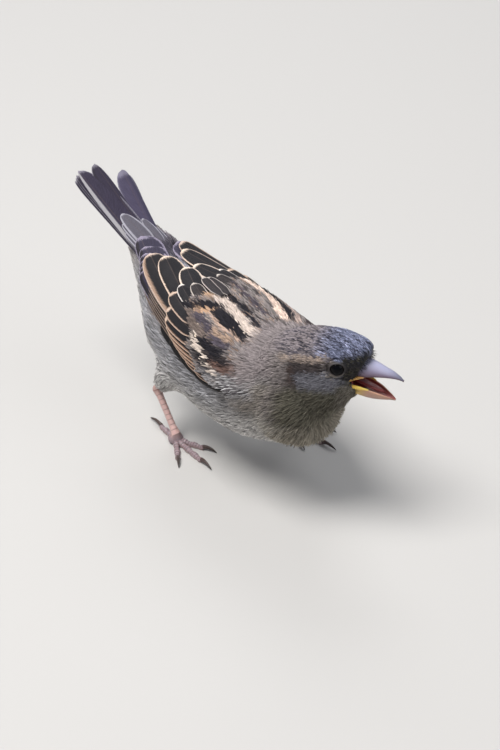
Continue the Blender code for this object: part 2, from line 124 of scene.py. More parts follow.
def frame_shift():
    """Where the point (0, 0, 0) of the bird's own frame lies in the world, in mm."""
    eyes = (middle_of("eye_right") + middle_of("eye_left")) / 2
    bird = head_to_bird([EYE_PLACE[0], 0, EYE_PLACE[2]])
    return eyes - np.array((bird[1], -bird[0], bird[2]))


SHIFT = frame_shift()


def to_world(p):
    """(forward, left, up) in mm to world metres."""
    p = np.asarray(p, float).reshape(-1, 3)
    return (np.stack([p[:, 1], -p[:, 0], p[:, 2]], 1) + SHIFT) * MM


def from_world(p):
    p = np.asarray(p, float).reshape(-1, 3) / MM - SHIFT
    return np.stack([-p[:, 1], p[:, 0], p[:, 2]], 1)


def catmull(rows, t):
    """Rows read at fractional row numbers t, along a Catmull-Rom curve."""
    rows = np.asarray(rows, float)
    t = np.atleast_1d(np.asarray(t, float))
    last = len(rows) - 1
    i = np.clip(np.floor(t).astype(int), 0, last - 1)
    s = (t - i)[:, None]
    p1, p2 = rows[i], rows[i + 1]
    p0 = np.where((i > 0)[:, None], rows[np.maximum(i - 1, 0)], 2 * p1 - p2)
    p3 = np.where((i + 2 <= last)[:, None], rows[np.minimum(i + 2, last)], 2 * p2 - p1)
    return 0.5 * (2 * p1 + (p2 - p0) * s + (2 * p0 - 5 * p1 + 4 * p2 - p3) * s ** 2
                  + (3 * p1 - p0 - 3 * p2 + p3) * s ** 3)


def signed_power(v, exponent):
    return np.sign(v) * np.abs(v) ** exponent


def body_frame(t):
    """Centres, forward and up directions and section sizes at stations t."""
    here, ahead = catmull(BODY, t), catmull(BODY, np.atleast_1d(t) + 0.01)
    forward = unit(ahead[:, :3] - here[:, :3])
    up = unit(np.cross(forward, [0, 1, 0]))
    return here[:, :3], forward, up, here[:, 3:]


def body_point(t, side, degrees, lift=0):
    """Points above the body's surface, at angles from the middle of the back."""
    t, degrees, lift = np.broadcast_arrays(*(np.atleast_1d(np.asarray(v, float))
                                             for v in (t, degrees, lift)))
    centre, _, up, size = body_frame(t)
    angle = np.radians(90 - degrees)
    tall = np.where(angle >= 0, size[:, 1], size[:, 2])
    exponent = np.where(angle >= 0, 2 / BACK_SQUARENESS, 2 / BODY_SQUARENESS)
    y = side * (size[:, 0] + lift) * signed_power(np.cos(angle), exponent)
    z = (tall + lift) * signed_power(np.sin(angle), exponent)
    return centre + np.array([0, 1, 0]) * y[:, None] + up * z[:, None]


STATIONS = np.linspace(0, 8, 161)


def body_place(p):
    """Station and angle from the back of points near the body's surface."""
    centre, forward, up, size = body_frame(STATIONS)
    p = np.asarray(p, float)
    along = p @ forward.T - np.sum(centre * forward, 1)
    i = np.argmin(np.abs(along), axis=1)
    step = STATIONS[1] - STATIONS[0]
    gap = np.linalg.norm(centre[1:] - centre[:-1], axis=1)
    t = STATIONS[i] + along[np.arange(len(p)), i] / gap[np.minimum(i, len(gap) - 1)] * step
    offset = p - centre[i]
    y = np.abs(offset[:, 1]) / size[i, 0]
    z = np.sum(offset * up[i], 1)
    z = z / np.where(z >= 0, size[i, 1], size[i, 2])
    power = np.where(z >= 0, BACK_SQUARENESS, BODY_SQUARENESS) / 2
    return t, 90 - np.degrees(np.arctan2(signed_power(z, power), y ** power))


def smooth(low, high, x):
    s = np.clip((x - low) / (high - low), 0, 1)
    return s * s * (3 - 2 * s)


def linear(*rgb):
    """A colour given in display values of 0 to 255, as linear light."""
    c = np.array(rgb, float) / 255
    return np.where(c <= 0.04045, c / 12.92, ((c + 0.055) / 1.055) ** 2.4)


def plain(count, rgb):
    """One colour for all of a number of points."""
    return np.tile(linear(*rgb), (count, 1))


def circle(count):
    return np.linspace(0, 2 * math.pi, count, endpoint=False)


# ---- camera, floor, light

VIEW_AZIMUTH, VIEW_ELEVATION = -40, 32
VIEW_DISTANCE = 1100          # from the point looked at, along the line of sight
VIEW_LENS, VIEW_SENSOR, VIEW_CLIP = 178.46, 36, (0.05, 10)
VIEW_AIM = (0, -14, 1.5)    # the right foot
AIM_OFFSET = (21.893, 18.343)   # view centre from the right foot, mm right and up


def make_camera():
    a, e = math.radians(VIEW_AZIMUTH), math.radians(VIEW_ELEVATION)
    back = Vector((math.sin(a) * math.cos(e), -math.cos(a) * math.cos(e), math.sin(e)))
    turned = (-back).to_track_quat("-Z", "Y")
    camera = bpy.data.objects.new("camera", bpy.data.cameras.new("camera"))
    bpy.context.scene.collection.objects.link(camera)
    camera.data.lens, camera.data.sensor_width = VIEW_LENS, VIEW_SENSOR
    camera.data.clip_start, camera.data.clip_end = VIEW_CLIP
    aim = Vector(to_world(VIEW_AIM)[0])
    across = turned @ Vector((AIM_OFFSET[0], AIM_OFFSET[1], 0)) * MM
    camera.location = aim + across + back * VIEW_DISTANCE * MM
    camera.rotation_mode = "QUATERNION"
    camera.rotation_quaternion = turned
    bpy.context.scene.camera = camera


FLOOR_RADIUS, FLOOR_DROP, FLOOR_COLOUR = 1.6, 0.00002, (0.44, 0.43, 0.415, 1)


def make_floor():
    ring = bmesh.new()
    bmesh.ops.create_circle(ring, cap_ends=True, radius=FLOOR_RADIUS, segments=96)
    mesh = bpy.data.meshes.new("floor")
    ring.to_mesh(mesh)
    ring.free()
    floor = bpy.data.objects.new("floor", mesh)
    bpy.context.scene.collection.objects.link(floor)
    floor.location.z = -FLOOR_DROP
    mat = bpy.data.materials.new("pale_floor")
    mat.use_nodes = True
    shader = mat.node_tree.nodes["Principled BSDF"]
    shader.inputs["Base Color"].default_value = FLOOR_COLOUR
    shader.inputs["Roughness"].default_value = 0.9
    mesh.materials.append(mat)


LIGHT_AIM = Vector((0, 0, 0.035))
# Area lights: place in world metres round the bird, size, watts, colour
LIGHTS = {
    "key": ((-0.35, 0.10, 0.95), 0.55, 15, (1, 0.985, 0.97)),
    "fill": ((0.25, -0.85, 0.55), 0.7, 2.6, (0.95, 0.97, 1)),
    "rim": ((0.55, 0.65, 0.7), 0.5, 4.5, (0.97, 0.98, 1)),
}
SKY = (0.86, 0.90, 1)
SKY_STRENGTH = 0.30
BACKDROP = (0.72, 0.72, 0.71)


def make_lights():
    for name, (place, size, watts, colour) in LIGHTS.items():
        light = bpy.data.lights.new(name, "AREA")
        light.size, light.energy, light.color = size, watts, colour
        lamp = bpy.data.objects.new(name, light)
        bpy.context.scene.collection.objects.link(lamp)
        lamp.location = place
        lamp.rotation_mode = "QUATERNION"
        lamp.rotation_quaternion = (LIGHT_AIM - Vector(place)).to_track_quat("-Z", "Y")
    world = bpy.data.worlds.new("studio")
    bpy.context.scene.world = world
    world.use_nodes = True
    nodes, links = world.node_tree.nodes, world.node_tree.links
    sky, wall, blend = (nodes["Background"], nodes.new("ShaderNodeBackground"),
                        nodes.new("ShaderNodeMixShader"))
    sky.inputs["Color"].default_value = (*SKY, 1)
    sky.inputs["Strength"].default_value = SKY_STRENGTH
    wall.inputs["Color"].default_value = (*BACKDROP, 1)
    links.new(nodes.new("ShaderNodeLightPath").outputs["Is Camera Ray"], blend.inputs[0])
    links.new(sky.outputs[0], blend.inputs[1])
    links.new(wall.outputs[0], blend.inputs[2])
    links.new(blend.outputs[0], nodes["World Output"].inputs["Surface"])
    bpy.context.scene.view_settings.view_transform = "Standard"


# ---- materials

def node_group(name, inputs, outputs):
    """An empty shader group with named inputs {name: default} and outputs {name: type}."""
    group = bpy.data.node_groups.new(name, "ShaderNodeTree")
    for label, value in inputs.items():
        kind = "NodeSocketColor" if isinstance(value, tuple) else "NodeSocketFloat"
        socket = group.interface.new_socket(label, in_out="INPUT", socket_type=kind)
        socket.default_value = value
    for label, kind in outputs.items():
        group.interface.new_socket(label, in_out="OUTPUT", socket_type=kind)
    return group, group.nodes.new("NodeGroupInput"), group.nodes.new("NodeGroupOutput")


class Wiring:
    """Short ways to place and join nodes in one tree."""

    def __init__(self, tree):
        self.tree = tree

    def add(self, kind, values=None, **settings):
        node = self.tree.nodes.new(kind)
        for key, value in settings.items():
            setattr(node, key, value)
        for socket, value in (values or {}).items():
            target = node.inputs[socket]
            if isinstance(value, bpy.types.NodeSocket):
                self.link(value, target)
            else:
                target.default_value = value
        return node

    def link(self, a, b):
        self.tree.links.new(a, b)

    def math(self, operation, a, b=0, c=0):
        return self.add("ShaderNodeMath", {0: a, 1: b, 2: c}, operation=operation).outputs[0]

    def less(self, a, b):
        return self.math("SUBTRACT", a, b)

    def times(self, a, b, plus=None):
        if plus is None:
            return self.math("MULTIPLY", a, b)
        return self.math("MULTIPLY_ADD", a, b, plus)

    def mix(self, factor, a, b, blend="MIX"):
        return self.add("ShaderNodeMix", {0: factor, 6: a, 7: b}, data_type="RGBA",
                        blend_type=blend).outputs[2]

    def ramp(self, value, low, high):
        """Smooth 0 to 1 as value runs from low to high."""
        return self.add("ShaderNodeMapRange", {0: value, 1: low, 2: high, 3: 0, 4: 1},
                        interpolation_type="SMOOTHSTEP").outputs[0]

    def within(self, value, reach, low, high):
        """1 where value stays under reach, fading over low to high beside it."""
        return self.less(1, self.ramp(self.less(value, reach), low, high))

    def noise(self, scale, detail, **more):
        values = {"Scale": scale, "Detail": detail, **more}
        return self.add("ShaderNodeTexNoise", values).outputs[0]

    def attribute(self, name, output="Color"):
        return self.add("ShaderNodeAttribute", attribute_name=name).outputs[output]

    def toned(self, colour, tone):
        grey = self.add("ShaderNodeCombineColor", {0: tone, 1: tone, 2: tone}).outputs[0]
        return self.mix(1, colour, grey, "MULTIPLY")

    def vector(self, x, y):
        return self.add("ShaderNodeCombineXYZ", {0: x, 1: y, 2: 0}).outputs[0]


FLOAT = "NodeSocketFloat"


def barb_grain_group():
    """Fine barbs that leave the shaft at a slant, from the feather's own map."""
    group, entry, leave = node_group(
        "barb_grain", {"Barbs": 60, "Slant": 1, "Wander": 0.5},
        {"Tone": FLOAT, "Height": FLOAT, "Across": FLOAT, "Along": FLOAT})
    w = Wiring(group)
    uv = w.add("ShaderNodeUVMap", uv_map="vane").outputs[0]
    parts = w.add("ShaderNodeSeparateXYZ", {0: uv}).outputs
    across, along = w.times(parts[0], 2, -1), parts[1]
    side = w.math("ABSOLUTE", across)
    wander = w.times(w.less(w.noise(9, 3, Vector=uv), 0.5), entry.outputs["Wander"])
    slanted = w.less(along, w.times(side, w.times(entry.outputs["Slant"], 0.2)))
    phase = w.times(w.times(wander, 0.2, slanted), entry.outputs["Barbs"])
    wave = w.math("SINE", w.times(phase, 6.2832))
    broad = w.noise(1.6, 4, Vector=w.vector(w.times(side, 2), w.times(slanted, 26)))
    for name, value in (("Height", w.times(wave, 0.5, 0.5)), ("Tone", w.times(wave, 0.12, broad)),
                        ("Across", across), ("Along", along)):
        w.link(value, leave.inputs[name])
    return group


def tuft_grain_group():
    """Loose barbs that run along a small feather."""
    group, entry, leave = node_group(
        "tuft_grain", {"Strands": 7}, {"Tone": FLOAT, "Height": FLOAT})
    w = Wiring(group)
    uv = w.add("ShaderNodeUVMap", uv_map="vane").outputs[0]
    parts = w.add("ShaderNodeSeparateXYZ", {0: uv}).outputs
    place = w.vector(w.times(parts[0], entry.outputs["Strands"]), w.times(parts[1], 1.3))
    noise = w.noise(1, 2, Vector=place)
    for name in ("Tone", "Height"):
        w.link(noise, leave.inputs[name])
    return group


BARBS = barb_grain_group()
STRANDS = tuft_grain_group()


def new_material(name, roughness, specular=0.3, sheen=0, coat=0, flesh=None):
    """A Principled material; flesh is the weight, radius and scale of light in it."""
    mat = bpy.data.materials.new(name)
    mat.use_nodes = True
    shader = mat.node_tree.nodes["Principled BSDF"]
    values = {"Roughness": roughness, "Specular IOR Level": specular, "Sheen Weight": sheen,
              "Coat Weight": coat}
    if flesh:
        values.update(zip(("Subsurface Weight", "Subsurface Radius", "Subsurface Scale"), flesh))
    for socket, value in values.items():
        shader.inputs[socket].default_value = value
    return mat, Wiring(mat.node_tree), shader


def bump_into(w, shader, height, strength, distance=0.0001):
    bump = w.add("ShaderNodeBump", {"Height": height, "Strength": strength,
                                    "Distance": distance})
    w.link(bump.outputs[0], shader.inputs["Normal"])


SHAFT_COLOUR = (0.10, 0.07, 0.06, 1)


def vane_material(name, roughness):
    """Large feathers: core colour, outer-web colour and a fringe, set feather by feather."""
    mat, w, shader = new_material(name, roughness, 0.16)
    grain = w.add("ShaderNodeGroup", node_tree=BARBS).outputs
    edges = w.add("ShaderNodeSeparateXYZ", {0: w.attribute("edges", "Vector")}).outputs
    fringe_width, web_reach, tip_width = edges[0], edges[1], edges[2]
    across = grain["Across"]
    ragged = w.times(w.less(grain["Tone"], 0.5), 0.16)
    edge = w.math("ADD", w.less(1, w.math("ABSOLUTE", across)), ragged)
    tip = w.math("ADD", w.less(1, grain["Along"]), w.times(ragged, 0.4))
    outer = w.math("ADD", w.less(1, across), w.times(ragged, 1.5))
    on_edge = w.within(edge, fringe_width, -0.04, 0.05)
    on_tip = w.within(tip, tip_width, -0.012, 0.02)
    on_web = w.within(outer, web_reach, -0.12, 0.12)
    colour = w.toned(w.attribute("core"), w.times(grain["Tone"], 0.9, 0.55))
    colour = w.mix(on_web, colour, w.attribute("web"))
    colour = w.mix(w.math("MAXIMUM", on_edge, on_tip), colour, w.attribute("fringe"))
    shaft = w.less(1, w.ramp(w.math("ABSOLUTE", across), 0.015, 0.05))
    w.link(w.mix(w.times(shaft, 0.35), colour, SHAFT_COLOUR), shader.inputs["Base Color"])
    bump_into(w, shader, grain["Height"], 0.35)
    return mat


def coat_material(name, roughness, sheen, strands, contrast):
    """Small feathers: the plumage colour of each root, broken by loose barbs."""
    mat, w, shader = new_material(name, roughness, 0.2, sheen)
    grain = w.add("ShaderNodeGroup", {"Strands": strands}, node_tree=STRANDS).outputs
    tone = w.times(w.less(grain["Tone"], 0.5), contrast, 1)
    w.link(w.toned(w.attribute("plume"), tone), shader.inputs["Base Color"])
    bump_into(w, shader, grain["Height"], 0.3)
    return mat


def tinted_material(name, roughness, specular, coat, flesh, grain, tone):
    """A surface tinted point by point, its tone broken by grain (scale, detail)."""
    mat, w, shader = new_material(name, roughness, specular, 0, coat, flesh)
    scale, detail, *more = grain
    noise = w.noise(scale, detail, **(more[0] if more else {}))
    w.link(w.toned(w.attribute("tint"), w.times(noise, *tone)), shader.inputs["Base Color"])
    return mat, w, shader, noise


VANE = vane_material("flight_vane", 0.55)
COAT = coat_material("small_feathers", 0.8, 0, 6, 1.8)
SKIN = coat_material("down_and_skin", 0.9, 0.2, 5, 0.2)


# ---- mesh making

def read(items, key, width=1, kind=float):
    """One property of all items of a mesh, as rows of the given width."""
    out = np.zeros(len(items) * width, kind)
    items.foreach_get(key, out)
    return out.reshape(-1, width) if width > 1 else out


def add_colours(mesh, label, values):
    rgba = np.ones((len(mesh.vertices), 4), np.float32)
    rgba[:, :3] = values
    layer = mesh.color_attributes.new(label, "FLOAT_COLOR", "POINT")
    layer.data.foreach_set("color", rgba.ravel())


def mesh_object(name, verts, faces, mat, uv=None, colours=None, vectors=None, bake=None):
    """A mesh from points in bird mm. Maps, colours and vectors are given point by point."""
    mesh = bpy.data.meshes.new(name)
    verts = to_world(verts)
    if isinstance(faces, list):
        mesh.from_pydata(verts.tolist(), [], faces)
    else:
        mesh.vertices.add(len(verts))
        mesh.vertices.foreach_set("co", verts.astype(np.float32).ravel())
        count, sides = faces.shape
        mesh.loops.add(count * sides)
        mesh.loops.foreach_set("vertex_index", faces.astype(np.int32).ravel())
        mesh.polygons.add(count)
        mesh.polygons.foreach_set("loop_start", np.arange(0, count * sides, sides,
                                                          dtype=np.int32))
        mesh.update(calc_edges=True)
        mesh.validate()
    for label, points in (("vane", uv), ("OFBake", bake)):
        if points is not None:
            add_map(mesh, label, points)
    for label, values in (colours or {}).items():
        add_colours(mesh, label, values)
    for label, values in (vectors or {}).items():
        layer = mesh.attributes.new(label, "FLOAT_VECTOR", "POINT")
        layer.data.foreach_set("vector", np.asarray(values, np.float32).ravel())
    mesh.materials.append(mat)
    mesh.shade_smooth()
    made = bpy.data.objects.new(name, mesh)
    bpy.context.scene.collection.objects.link(made)
    return made


def add_map(mesh, label, points):
    """A UV map given point by point."""
    corner = read(mesh.loops, "vertex_index", kind=np.int32)
    layer = mesh.uv_layers.new(name=label)
    layer.data.foreach_set("uv", np.asarray(points, np.float32)[corner].ravel())


def finish_piece(piece, slot, *nodes):
    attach(piece, "root")
    if nodes:
        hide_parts(*nodes)


def recalculate(mesh):
    work = bmesh.new()
    work.from_mesh(mesh)
    bmesh.ops.remove_doubles(work, verts=work.verts, dist=1e-7)
    bmesh.ops.recalc_face_normals(work, faces=work.faces)
    work.to_mesh(mesh)
    work.free()


def cells(grid):
    """The corners a, b, c, d of every cell in a grid of point numbers."""
    return grid[:-1, :-1], grid[1:, :-1], grid[1:, 1:], grid[:-1, 1:]


def ring_faces(rows, columns):
    """Quads between successive rings of a tube."""
    now = np.arange(rows * columns).reshape(rows, columns)
    after = np.roll(now, -1, 1)
    return np.stack([now[:-1], after[:-1], after[1:], now[1:]], -1).reshape(-1, 4)


def capped(rows, columns):
    """Faces of a tube whose two end points follow after its rings."""
    n, base = rows * columns, (rows - 1) * columns
    return ([tuple(f) for f in ring_faces(rows, columns).tolist()]
            + [(n, (i + 1) % columns, i) for i in range(columns)]
            + [(n + 1, base + i, base + (i + 1) % columns) for i in range(columns)])


def tube_piece(name, slot, rings, mat, *nodes, tints=None, to_bird=None):
    """A finished piece from rings of equal counts, capped at both ends."""
    verts = np.concatenate(list(rings) + [rings[0].mean(0)[None], rings[-1].mean(0)[None]])
    colours = None
    if tints is not None:
        tints = np.concatenate(tints)
        colours = {"tint": np.concatenate([tints, tints[:1], tints[-1:]])}
    piece = mesh_object(name, to_bird(verts) if to_bird else verts,
                        capped(len(rings), len(rings[0])), mat, colours=colours)
    recalculate(piece.data)
    finish_piece(piece, slot, *nodes)


# ---- large feathers

VANE_ROWS, VANE_COLUMNS = 16, 9
VANE_THICKNESS = 0.10
# Shares of the length at which rows lie: closer together in the rounded tip
ROW_PLACES = 1 - (1 - np.linspace(0, 1, VANE_ROWS)) ** 1.55
COLUMN_PLACES = np.linspace(-1, 1, VANE_COLUMNS)


def vane_outline(u, tip_start, base_width):
    """Share of the full width along a feather, narrow at the root and round at the tip."""
    body = base_width + (1 - base_width) * smooth(0, 0.4, u)
    over = np.clip((u - tip_start) / (1 - tip_start), 0, 1)
    return body * np.sqrt(np.maximum(1 - over ** 2.3, 0))


class Feathers:
    """Collects large feathers of one piece as thin closed vanes with their markings."""

    def __init__(self):
        self.points, self.faces, self.uv, self.marks, self.count = [], [], [], [], 0

    def add(self, surface, marks):
        """surface(u, v) gives points for the upper side and the outward directions."""
        u, v = np.meshgrid(ROW_PLACES, COLUMN_PLACES, indexing="ij")
        grid = np.arange(u.size).reshape(u.shape)
        u, v = u.ravel(), v.ravel()
        top, out = surface(u, v)
        rim = (1 - np.abs(v) ** 6) * (1 - u ** 14)
        low = top - out * (0.02 + VANE_THICKNESS * rim)[:, None]
        n = len(top)
        a, b, c, d = cells(grid)
        upper = np.stack([a, d, c, b], -1).reshape(-1, 4)
        lower = np.stack([a, b, c, d], -1).reshape(-1, 4) + n
        loop = np.concatenate([grid[:, 0], grid[-1, 1:], grid[::-1, -1][1:], grid[0, ::-1][1:-1]])
        after = np.roll(loop, -1)
        side = np.stack([loop, after, after + n, loop + n], -1)
        facing = np.cross(top[b] - top[a], top[d] - top[a])
        step = -1 if np.sum(facing * out[a]) > 0 else 1
        self.faces += [f[:, ::step] + self.count for f in (upper, lower, side)]
        self.points += [top, low]
        self.uv.append(np.stack([v * 0.5 + 0.5, u], 1))
        self.marks.append(marks)
        self.count += 2 * n

    def bake_map(self):
        """Each feather in a cell of its own, its two sides next to each other."""
        side = math.ceil(math.sqrt(len(self.uv)))
        return np.concatenate([
            np.array([i % side, i // side]) / side + ([left, 0.06] + uv * [0.42, 0.88]) / side
            for i, uv in enumerate(self.uv) for left in (0.04, 0.54)])

    def build(self, name, mat):
        def spread(key):
            return np.concatenate([np.tile(marks[key], (2 * len(uv), 1))
                                   for marks, uv in zip(self.marks, self.uv)])
        return mesh_object(name, np.concatenate(self.points), np.concatenate(self.faces), mat,
                           np.concatenate([uv for uv in self.uv for _ in range(2)]),
                           {key: spread(key) for key in ("core", "web", "fringe")},
                           {"edges": spread("edges")}, self.bake_map())


def style(core, fringe, fringe_width=0.12, tip_width=0.03, web=None, web_reach=0):
    """Markings of a feather. Widths are shares of the half width and of the length."""
    return {"core": linear(*core), "web": linear(*(web or core)), "fringe": linear(*fringe),
            "edges": (fringe_width, web_reach, tip_width)}


def body_vane(side, root, tip, width, lifts, bow=0, inner=1, outer=1, cup=0.3,
              tip_start=0.72, base_width=0.45, shift=0, tilt=0.24):
    """A feather on the body from root to tip, each (station, degrees from the back).

    inner and outer scale the webs toward the back and toward the belly. tilt raises the
    outer edge, which lies over the next feather.
    """
    def surface(u, v):
        t = root[0] + (tip[0] - root[0]) * u
        deg = root[1] + (tip[1] - root[1]) * u + bow * np.sin(np.pi * u) + shift
        eps = 0.02
        here = body_point(t, side, deg)
        along_t = (body_point(t + eps, side, deg) - here) / eps
        along_d = (body_point(t, side, deg + 0.5) - here) / 0.5
        out = unit(np.cross(along_d, along_t)) * -side
        ahead_deg = (tip[1] - root[1]) + bow * np.pi * np.cos(np.pi * u)
        path = unit(along_t * (tip[0] - root[0]) + along_d * ahead_deg[:, None])
        across = unit(np.cross(out, path)) * side
        half = 0.5 * width * vane_outline(u, tip_start, base_width) * np.where(
            v > 0, outer, inner) * v
        # steps of station and angle that move a point sideways by half
        g11, g12, g22 = (np.sum(a * b, 1) for a, b in (
            (along_t, along_t), (along_t, along_d), (along_d, along_d)))
        b1, b2 = np.sum(across * along_t, 1), np.sum(across * along_d, 1)
        det = g11 * g22 - g12 ** 2
        dt, dd = (b1 * g22 - b2 * g12) / det, (b2 * g11 - b1 * g12) / det
        sign = np.sign(dd)
        lift = lifts[0] + (lifts[1] - lifts[0]) * u ** 0.8 + cup * (1 - v ** 2) * np.minimum(
            1, width / 6) + 0.05 * np.exp(-(v / 0.1) ** 2) + tilt * v * np.minimum(1, 3 * u)
        return body_point(t + sign * dt * half, side, deg + sign * dd * half, lift), out
    return surface


BLACK, CREAM, WHITISH = (22, 20, 24), (226, 208, 192), (222, 214, 208)
VIOLET, LILAC = (50, 46, 62), (150, 142, 160)

# Tertials, lowest to highest: root, tip, width, lifts, bow, markings;
# roots and tips as the body's station and degrees from the middle of the back
TERTIALS = [
    ((4.4, 41.5), (1.74, 32), 7.6, (1.3, 2.45), 3.5,
     style(BLACK, (206, 184, 170), 0.07, 0.022, web=(160, 134, 116), web_reach=0.28)),
    ((4.3, 33), (2.03, 17.5), 7.2, (1.5, 2.65), 3.5, style(BLACK, (220, 198, 180), 0.10, 0.026)),
    ((4.1, 23), (2.56, 8.5), 6.2, (1.7, 2.85), 2.5, style(BLACK, CREAM, 0.13, 0.035)),
]
# Primaries: tips from the longest and lowest to the innermost
PRIMARY_TIPS = [(1, 29), (1.04, 31), (1.40, 32.5), (1.62, 38), (1.78, 43),
                (1.92, 47), (2.04, 51)]
PRIMARY_MARKS = style(VIOLET, LILAC, 0.07, 0.016, web=(34, 31, 36), web_reach=0.5)
SECONDARY_COUNT = 9
# Greater coverts, inner to outer: root, tip, width, share of buff on the outer web
GREATER = [
    ((4.3, 40), (3.02, 36), 5, 0.12), ((4.55, 47.5), (3.28, 48), 4.7, 0.20),
    ((4.9, 55), (3.40, 57), 4, 0.30), ((5.2, 61), (3.52, 62.5), 3.5, 0.40),
    ((5.5, 66.5), (3.66, 67), 3.2, 0.46), ((5.7, 71), (3.85, 71), 3, 0.46),
    ((5.9, 75), (4.1, 75), 2.8, 0.42), ((6, 79), (4.4, 79), 2.7, 0.36),
    ((6.1, 82), (4.75, 82.5), 2.6, 0.30),
]
# Median coverts and alula: root, tip, width
MEDIAN = [
    ((5.2, 43), (4.2, 42), 3.6), ((5.35, 48.5), (4.4, 49), 3.6),
    ((5.5, 54), (4.62, 56), 3.6), ((5.7, 60), (4.88, 62.5), 3.5),
    ((5.9, 65.5), (5.18, 68), 3.4), ((6.1, 70.5), (5.46, 72.8), 3.2),
    ((6.3, 75), (5.72, 77), 3),
]
MEDIAN_MARKS = style((30, 26, 27), (216, 198, 178), 0.14, 0.24)
ALULA = [
    ((5, 80), (3.35, 74.5), 3.6), ((5.4, 84), (3.75, 78.5), 3.6),
    ((5.8, 87), (4.2, 83), 3.4), ((6.1, 88), (4.65, 87.5), 3),
]
ALULA_MARKS = style((20, 18, 20), (48, 42, 40), 0.1, 0.03)
# Long shoulder feathers over the wing: root, tip, width, markings
LONG_SCAPULARS = [
    ((4.1, 33), (2.96, 25.5), 4, style(BLACK, WHITISH, 0.12, 0.04)),
    ((4.2, 23), (3.12, 16), 3.8, style((40, 35, 36), (196, 186, 178), 0.12, 0.04)),
    ((3.9, 6), (3.1, 4.5), 3, style((44, 40, 42), (186, 176, 170), 0.14, 0.05)),
]
# The left wing lies a little nearer the back, and closer to the body
WING_SHIFT, WING_LIFT = {"right": 0, "left": -4}, {"right": 1, "left": 0.62}


def make_wing(name, side):
    flight, coverts = Feathers(), Feathers()
    shift, share = WING_SHIFT[name], WING_LIFT[name]

    def put(where, root, tip, width, lifts, bow, marks, **options):
        # the lower coverts lie closer, and the lower flight feathers reach down the side
        close = share * (1 - 0.5 * float(smooth(52, 80, tip[1])) * (where is coverts))
        lifts = (lifts[0] * close, lifts[1] * close)
        reach = 6 if where is flight else -3.5
        root, tip = ((t, deg + reach * float(smooth(42, 76, deg))) for t, deg in (root, tip))
        where.add(body_vane(side, root, tip, width, lifts, bow, shift=shift, **options), marks)

    for i, (reach, deg) in enumerate(PRIMARY_TIPS):
        # the left wing's tips lie further forward, the longest most
        tip = (reach + (0.7 - 0.08 * i if side == LEFT else 0), deg)
        put(flight, (4.7 - 0.12 * i, 67.5 - 1.4 * i), tip, 8.2,
            (0.3 + 0.08 * i, 0.95 + 0.14 * i), -4, PRIMARY_MARKS,
            inner=1.15, outer=0.7, cup=0.4, tip_start=0.84, base_width=0.3)
    for i, s in enumerate(np.linspace(0, 1, SECONDARY_COUNT).tolist()):
        marks = style((24, 21, 24), (140, 124, 114), 0.08, 0.02, web=(86, 71, 62),
                      web_reach=0.12 + 0.10 * math.sin(3 * i))
        put(flight, (4.9, 70 - 21 * s), (2.15 - 0.1 * s, 55 - 13 * s), 4.4,
            (0.9 + 0.6 * s, 1.35 + 0.6 * s), -5, marks, inner=1.2, outer=1, cup=0.12,
            tilt=0.42)
    for row in TERTIALS:
        put(flight, *row)
    for i, row in enumerate(ALULA):
        put(coverts, *row, (0.8, 1.3 + 0.1 * i), 1, ALULA_MARKS)
    for i, (*row, buff) in enumerate(GREATER[::-1]):
        marks = style(BLACK, (200, 176, 158), 0.11, 0.05, web=(150, 117, 96),
                      web_reach=0.62 * buff)
        put(coverts, *row, (1.7, 2.45 + 0.07 * i), 1.5, marks, cup=0.12, tilt=0.5)
    for i, row in enumerate(MEDIAN[::-1]):
        put(coverts, *row, (2.3, 3 + 0.05 * i), 0.5, MEDIAN_MARKS, cup=0.3)
    for *row, marks in LONG_SCAPULARS[::-1]:
        put(coverts, *row, (1.9, 2.9), 1, marks, cup=0.35)
    finish_piece(flight.build("flight_feathers_" + name, VANE), "flight_feather",
                 "primaries_" + name)
    finish_piece(coverts.build("wing_coverts_" + name, VANE), "plumage_brown", "wing_" + name)


TAIL_ROOT = np.array([-24, 0, 48.6])
TAIL_RISE, TAIL_LENGTH = math.radians(34), 33
TAIL_BACK = np.array([-math.cos(TAIL_RISE), 0, math.sin(TAIL_RISE)])
TAIL_UP = np.array([math.sin(TAIL_RISE), 0, math.cos(TAIL_RISE)])
# Tail feathers from the outermost in: root and tip across, length share,
# widths of the outer and inner webs, height
TAIL_FEATHERS = {
    "right": [(-6.5, -11.3, 0.94, 1, 2.6, 0), (-6.1, -10.7, 0.96, 1, 2.6, 0.14),
              (-5.5, -10.1, 0.98, 1.2, 3, 0.28), (-1.1, -3, 1.01, 3.6, 1.7, 0.42),
              (-5.3, -9, 1.01, 2.1, 6.4, 0.60)],
    "left": [(-0.1, 5.4, 0.80, 1.4, 1.7, 0), (-0.2, 5, 0.82, 1.5, 2.1, 0.12),
             (-0.2, 4.5, 0.84, 1.8, 3, 0.26), (0, 4.1, 0.86, 2.1, 4, 0.44)],
}
TAIL_START, TAIL_TILT = -9, 0.12
TAIL_MARKS = {
    "right": style((48, 43, 57), (128, 124, 134), 0.08, 0.016, web=(42, 38, 48), web_reach=0.4),
    "left": style((66, 61, 80), (112, 108, 124), 0.08, 0.05, web=(58, 54, 72), web_reach=0.6),
}
BROAD_MARKS = style((50, 45, 60), (134, 130, 140), 0.06, 0.016, web=(150, 147, 150),
                    web_reach=0.6)
BROAD_WEB = 5                   # an inner web wider than this is the tail's broad top feather


def tail_points(along, across, up):
    return (TAIL_ROOT + TAIL_BACK * along[:, None] + TAIL_UP * up[:, None]
            + np.array([0, 1, 0]) * across[:, None])


